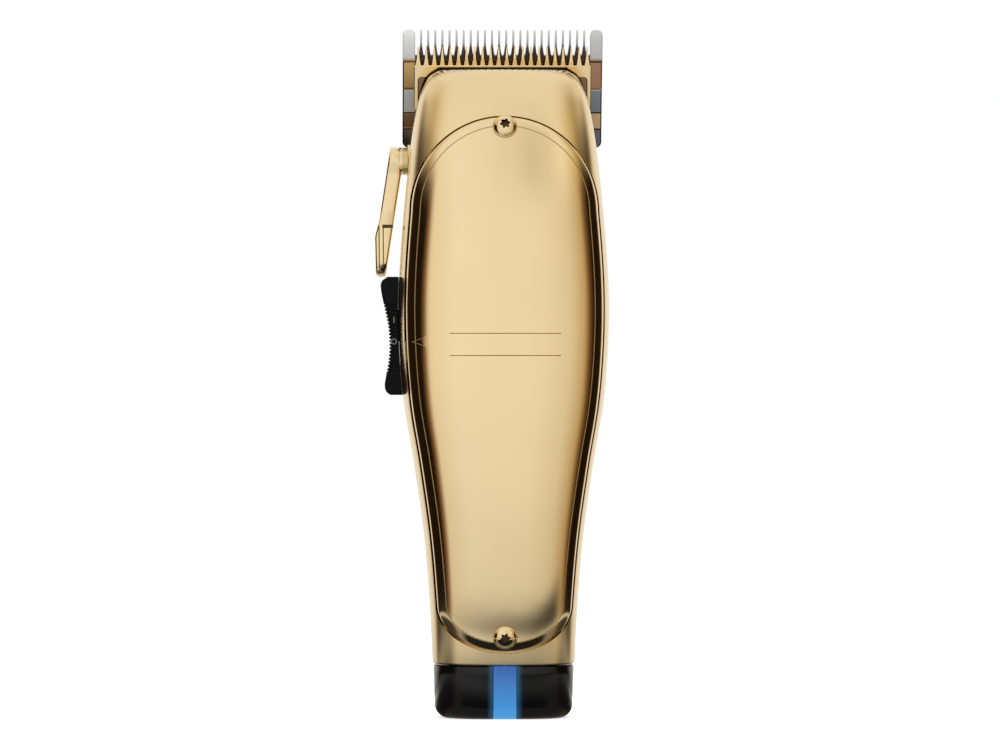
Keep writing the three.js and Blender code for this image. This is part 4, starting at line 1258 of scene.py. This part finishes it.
def long_groove(start, end):
    """A groove along the tab's front edge between two (x, z) points, as a shape to cut with."""
    half, floor_half, depth = 0.2, 0.08, 0.5
    edge = LEVER_AXIS[0] - LEVER_TAB
    low, high = edge - 1, edge + depth
    rings = []
    for x, z in (start, end):
        top = [(x - half, low, z), (x + half, low, z)]
        floor = [(x + floor_half, high, z), (x - floor_half, high, z)]
        rings.append(cornered(top + floor))
    return sweep(4, rings)


def build_lever():
    """The lever with a collar on its hub, room for its screw and shaft, and grooves on its tab."""
    y = LEVER_AXIS[0]
    lever = piece_from(sweep(24, lever_rings()), "taper_lever_gold")
    collar = rod(COLLAR_RADIUS, (-25.5, -24.16), "X", LEVER_AXIS, 40)
    carve(lever, [collar], "UNION")
    coat(lever, "gold_steel")
    screw_room = rod(1.9, (-29, -26.2), "X", LEVER_AXIS, 32)
    shaft_room = rod(1.3, (-28, -23), "X", LEVER_AXIS)
    carve(lever, [screw_room, shaft_room])
    grooves = [
        block((-29.05, -24), (y - 5, y - 3.3), (117.45, 118.25)),
        long_groove((-29.85, 118.0), (-29.75, 107.4)),
        long_groove((-28.85, 118.0), (-28.75, 107.8)),
    ]
    # the grooves' cut faces take painted shade, a dark brown
    carve(lever, grooves, finish="painted_recess_shade")
    show(lever, "lever", "gold_steel", "gold_steel", "taper_lever", angle=24)


class CLIPPER_OT_lever(bpy.types.Operator):
    """Builds the taper lever on the left side"""

    bl_idname = "clipper.lever"
    bl_label = "Taper lever"

    def execute(self, context):
        build_lever()
        return {"FINISHED"}


# ------------------------------------------------------------------ slide switch

SWITCH_LOW = 77.3
SWITCH_HIGH = 105.6
SWITCH_FACE = smooth_curve((
    (77.3, -27.2), (78.0, -28.1), (79.6, -28.5), (82.0, -28.15), (85.5, -27.6), (89.5, -27.35),
    (94.0, -27.7), (98.5, -28.6), (103.0, -29.45), (104.6, -29.2), (105.6, -27.9),
))
SWITCH_HALF = 4.6  # half of its depth
SWITCH_CORNER = 0.9
RIDGES = (83.0, 99.0)  # the heights between which the grip ridges lie
OFF_MARK = (-26.34, 90.1)  # x and z of the ring's middle
RIDGE_PROFILE = ((0.08, 0.38), (0.3, 0.0), (0.78, 0.0), (1.0, 0.38))  # share of the pitch, depth


def switch_rings():
    """Sections of the switch from its foot to its head, with a ridge every pitch."""
    pitch = (RIDGES[1] - RIDGES[0]) / sizes().serrations
    stations = [(z, 0.0) for z in steps(SWITCH_LOW, RIDGES[0] - 0.1, 14)]
    for i in range(sizes().serrations):
        stations += [(RIDGES[0] + (i + share) * pitch, sunk) for share, sunk in RIDGE_PROFILE]
    stations += [(z, 0.0) for z in steps(RIDGES[1] + 0.1, SWITCH_HIGH, 16)]
    rings = []
    for z, sunk in stations:
        from_end = min(z - SWITCH_LOW, SWITCH_HIGH - z)
        half = SWITCH_HALF - 0.5 * max(0, 1 - from_end / SWITCH_CORNER) ** 2 - sunk * 0.3
        across = (SWITCH_FACE(z) + sunk, -23)
        rings.append(rounded(across, (-half, half), SWITCH_CORNER, lambda a, b, z=z: (a, b, z), 24))
    return rings


def build_switch():
    """The slider, hollowed to the body's side, with the stem that reaches into the housing."""
    switch = piece_from(sweep(24, switch_rings()), "switch_slider")
    room = sweep(96, body_rings(steps(60, 120, 20), -GAP))
    carve(switch, [room])
    stem = block((-26.2, -21.4), (-2.2, 2.2), (90.2, 97.7))
    carve(switch, [stem], "UNION")
    show(switch, "switch", "matte_black", "matte_black", "switch_button", angle=30)


def build_marks():
    """The generic on and off marks, a bar and a ring, on the switch's front."""
    face, back_of = -4.62, -4.52
    bar = slab((-26.48, -26.2), (face, back_of), (94.5, 96.0), 0.1, 0.02, 16)
    profile = ((0.72, back_of), (0.72, face), (0.48, face), (0.48, back_of), (0.72, back_of))

    def circle(radius, depth):
        def at(turn):
            angle = 2 * math.pi * turn
            x = OFF_MARK[0] + radius * math.cos(angle)
            return Vector((x, depth, OFF_MARK[1] + radius * math.sin(angle)))

        return at

    ring = sweep(32, [circle(*corner) for corner in profile], caps=False)
    for name, bm in (("switch_mark_on", bar), ("switch_mark_off", ring)):
        show(piece_from(bm, name), "switch", "matte_black", "mark_grey")


class CLIPPER_OT_switch(bpy.types.Operator):
    """Builds the slide switch with its grip ridges and marks"""

    bl_idname = "clipper.switch"
    bl_label = "Slide switch"

    def execute(self, context):
        build_switch()
        build_marks()
        return {"FINISHED"}


# ------------------------------------------------------------------ studio

# The studio's walls as (degrees from the front, towards the right; colour): a wide white front, dark
# cards at both sides and a white back.
STUDIO_WALLS = (
    (-180, (0.97, 0.97, 0.97)), (-136, (0.95, 0.93, 0.9)), (-129, (0.5, 0.33, 0.18)),
    (-122, (0.02, 0.011, 0.006)), (-75, (0.01, 0.006, 0.004)), (-68, (0.26, 0.13, 0.05)),
    (-59, (0.92, 0.86, 0.78)), (-25, (1.0, 1.0, 1.0)), (12, (0.97, 0.95, 0.92)),
    (45, (0.84, 0.79, 0.7)), (69, (0.6, 0.45, 0.26)), (79, (0.16, 0.08, 0.03)),
    (87, (0.01, 0.006, 0.004)), (117, (0.02, 0.011, 0.006)), (124, (0.5, 0.33, 0.18)),
    (131, (0.95, 0.93, 0.9)), (180, (0.97, 0.97, 0.97)),
)
# The ceiling's colour by the same angle: white to the left, a softer warm stretch to the right.
STUDIO_CEILING = (
    (-180, (0.97, 0.97, 0.97)), (-120, (0.9, 0.84, 0.74)), (-88, (0.6, 0.46, 0.26)),
    (-62, (0.96, 0.92, 0.85)), (-30, (1.0, 1.0, 1.0)), (-4, (0.95, 0.94, 0.92)),
    (14, (0.76, 0.73, 0.67)), (30, (0.84, 0.8, 0.71)), (48, (1.0, 0.96, 0.86)),
    (66, (0.8, 0.68, 0.42)), (88, (0.42, 0.31, 0.14)), (120, (0.9, 0.84, 0.74)),
    (180, (0.97, 0.97, 0.97)),
)
# Straight up the ceiling is one pale colour. Both changes go by the upward part of the direction.
ZENITH = (0.94, 0.92, 0.88)
WALLS_TO_CEILING = (0.25, 0.55)
CEILING_TO_ZENITH = (0.6, 0.95)


def walls_group():
    """The colours of the studio's walls and ceiling in the direction of a vector."""
    outputs = {"Walls": STUDIO_WALLS, "Ceiling": STUDIO_CEILING}
    group, source, sink = new_group("studio_walls", {}, outputs, "NodeSocketColor")
    parts = split(group, (source, "Vector"))
    forward = math_node(group, "MULTIPLY", (parts, "Y"), -1)
    angle = math_node(group, "ARCTAN2", (parts, "X"), (forward, 0))
    turn = ranged(group, (angle, 0), -math.pi, math.pi)
    for output, colors in outputs.items():
        stops = [((degrees + 180) / 360, color) for degrees, color in colors]
        wire(group, color_ramp(group, (turn, 0), stops), "Color", sink, output)


def placed_walls(tree, place, coordinates):
    node = tree.nodes.new("ShaderNodeGroup")
    node.node_tree = bpy.data.node_groups["studio_walls"]
    wire(tree, place, coordinates, node, "Vector")
    return node


def unless_seen(tree, mirrored, plain, output):
    """The plain shader where the camera looks at it, and the other one for every other ray."""
    seen = tree.nodes.new("ShaderNodeLightPath")
    mix = tree.nodes.new("ShaderNodeMixShader")
    wire(tree, seen, "Is Camera Ray", mix, 0)
    tree.links.new(mirrored.outputs[0], mix.inputs[1])
    tree.links.new(plain.outputs[0], mix.inputs[2])
    wire(tree, mix, 0, output, "Surface")


def studio_world():
    """A soft room: its walls by direction, a bright ceiling, and plain white where it is seen."""
    world = bpy.data.worlds.new("studio")
    bpy.context.scene.world = world
    world.use_nodes = True
    tree = world.node_tree
    tree.nodes.clear()
    place = tree.nodes.new("ShaderNodeTexCoord")
    parts = split(tree, (place, "Generated"))
    around = placed_walls(tree, place, "Generated")
    rise = ranged(tree, (parts, "Z"), *WALLS_TO_CEILING, "SMOOTHSTEP")
    room = color_mix(tree, rise, (around, "Walls"), (around, "Ceiling"))
    above = ranged(tree, (parts, "Z"), *CEILING_TO_ZENITH, "SMOOTHSTEP")
    sky = color_mix(tree, above, (room, 2), ZENITH)
    light = tree.nodes.new("ShaderNodeBackground")
    wire(tree, sky, 2, light, "Color")
    plain = tree.nodes.new("ShaderNodeBackground")
    plain.inputs["Color"].default_value = (1, 1, 1, 1)
    unless_seen(tree, light, plain, tree.nodes.new("ShaderNodeOutputWorld"))


# How bright the mirrored floor is, by the distance in metres from a point of it: the walls' light all over,
# a lit stretch round the foot, a dark card in front and a shaded patch in front to the right.
FLOOR_FADE = (
    (0.0, 0.25), (0.06, 0.3), (0.094, 0.42), (0.104, 0.38), (0.12, 0.5), (0.14, 0.68),
    (0.172, 0.82), (0.4, 0.95), (0.8, 1.0),
)
FLOOR_GLOW = ((0.0, 0.04), (0.06, 0.05), (0.067, 0.62), (0.085, 0.62), (0.096, 0.0), (0.2, 0.0))
FLOOR_CARD = ((0.0, 0.04), (0.019, 0.06), (0.025, 1.0), (0.04, 1.0))
FLOOR_SHADE = ((0.0, 0.04), (0.015, 0.08), (0.03, 0.5), (0.046, 1.0), (0.06, 1.0))
FLOOR_SIZE = 12000


def floor_levels(tree, place, stretch, shift, stops):
    """A brightness by the distance from a point of the floor, measured with x stretched."""
    move = tree.nodes.new("ShaderNodeVectorMath")
    move.operation = "MULTIPLY_ADD"
    move.inputs[1].default_value = (stretch, 1, 1)
    move.inputs[2].default_value = (*shift, 0)
    wire(tree, place, "Object", move, 0)
    reach = tree.nodes.new("ShaderNodeVectorMath")
    reach.operation = "LENGTH"
    wire(tree, move, 0, reach, 0)
    last = stops[-1][0]
    share = math_node(tree, "DIVIDE", (reach, "Value"), last)
    return color_ramp(tree, (share, 0), [(distance / last, (level,) * 3) for distance, level in stops])


def mirrored_floor(tree, place):
    """What the object mirrors of the floor."""
    card = floor_levels(tree, place, 0.5, (0, 0.043), FLOOR_CARD)
    shaded = floor_levels(tree, place, 0.36, (-0.03, 0.088), FLOOR_SHADE)
    fade = floor_levels(tree, place, 1.0, (0, 0), FLOOR_FADE)
    glow = floor_levels(tree, place, 0.61, (0, 0), FLOOR_GLOW)
    dimmed = math_node(tree, "MULTIPLY", (fade, "Color"), (shaded, "Color"))
    walls = tree.nodes.new("ShaderNodeEmission")
    wire(tree, placed_walls(tree, place, "Object"), "Walls", walls, "Color")
    wire(tree, math_node(tree, "MULTIPLY", (dimmed, 0), (card, "Color")), 0, walls, "Strength")
    foot = tree.nodes.new("ShaderNodeEmission")
    foot.inputs["Color"].default_value = (1.0, 0.97, 0.92, 1)
    wire(tree, math_node(tree, "MULTIPLY", (glow, "Color"), (card, "Color")), 0, foot, "Strength")
    both = tree.nodes.new("ShaderNodeAddShader")
    wire(tree, walls, 0, both, 0)
    wire(tree, foot, 0, both, 1)
    return both


def studio_floor():
    """A pale floor: white where it is seen, dim near the object where the object mirrors it."""
    bm = bmesh.new()
    bmesh.ops.create_grid(bm, x_segments=8, y_segments=8, size=FLOOR_SIZE)
    floor = piece_from(bm, "studio_floor")
    material = bpy.data.materials.new("pale_floor")
    material.use_nodes = True
    tree = material.node_tree
    shader = next(n for n in tree.nodes if n.type == "BSDF_PRINCIPLED")
    shader.inputs["Base Color"].default_value = (0.8, 0.8, 0.8, 1)
    shader.inputs["Roughness"].default_value = 0.9
    shader.inputs["Specular IOR Level"].default_value = 0
    shader.inputs["Emission Color"].default_value = (1, 1, 1, 1)
    shader.inputs["Emission Strength"].default_value = 0.62
    place = tree.nodes.new("ShaderNodeTexCoord")
    mirrored = mirrored_floor(tree, place)
    output = next(n for n in tree.nodes if n.type == "OUTPUT_MATERIAL")
    unless_seen(tree, mirrored, shader, output)
    floor.data.materials.append(material)


def studio_camera():
    studio = bpy.context.scene.clipper_studio
    data = bpy.data.cameras.new("studio_camera")
    data.lens = studio.lens
    data.clip_end = 50
    camera = bpy.data.objects.new("studio_camera", data)
    distance = studio.lens / data.sensor_width * studio.view_width
    round_object = Matrix.Rotation(studio.turn, 3, "Z")
    camera.location = round_object @ Vector((studio.aim_side, -distance, studio.aim_height))
    camera.rotation_euler = (math.pi / 2, 0, studio.turn)
    bpy.context.scene.collection.objects.link(camera)
    bpy.context.scene.camera = camera


class CLIPPER_OT_studio(bpy.types.Operator):
    """Builds the floor, the soft light and the camera"""

    bl_idname = "clipper.studio"
    bl_label = "Studio"

    def execute(self, context):
        context.scene.view_settings.view_transform = "Standard"
        walls_group()
        studio_world()
        studio_floor()
        studio_camera()
        return {"FINISHED"}


# ------------------------------------------------------------------ add-on


class CLIPPER_PT_panel(bpy.types.Panel):
    """Lists the clipper's pieces in the sidebar"""

    bl_idname = "CLIPPER_PT_panel"
    bl_label = "Hair Clipper"
    bl_space_type = "VIEW_3D"
    bl_region_type = "UI"
    bl_category = "Clipper"

    def draw(self, context):
        for operator in OPERATORS:
            self.layout.operator(operator.bl_idname)
        scene = context.scene
        for group in (scene.clipper_sizes, scene.clipper_colours, scene.clipper_studio):
            for name in group.bl_rna.properties.keys():
                if name not in ("rna_type", "name"):
                    self.layout.prop(group, name)


OPERATORS = (
    CLIPPER_OT_studio, CLIPPER_OT_finishes, CLIPPER_OT_housing, CLIPPER_OT_cover, CLIPPER_OT_base,
    CLIPPER_OT_blades, CLIPPER_OT_lever, CLIPPER_OT_switch,
)
CLASSES = (ClipperSizes, ClipperColours, ClipperStudio, *OPERATORS, CLIPPER_PT_panel)


def register():
    for cls in CLASSES:
        bpy.utils.register_class(cls)
    bpy.types.Scene.clipper_sizes = PointerProperty(type=ClipperSizes)
    bpy.types.Scene.clipper_colours = PointerProperty(type=ClipperColours)
    bpy.types.Scene.clipper_studio = PointerProperty(type=ClipperStudio)


def unregister():
    del bpy.types.Scene.clipper_studio
    del bpy.types.Scene.clipper_colours
    del bpy.types.Scene.clipper_sizes
    for cls in reversed(CLASSES):
        bpy.utils.unregister_class(cls)


def main():
    register()
    for operator in OPERATORS:
        category, name = operator.bl_idname.split(".")
        getattr(getattr(bpy.ops, category), name)()


if __name__ == "__main__":
    main()
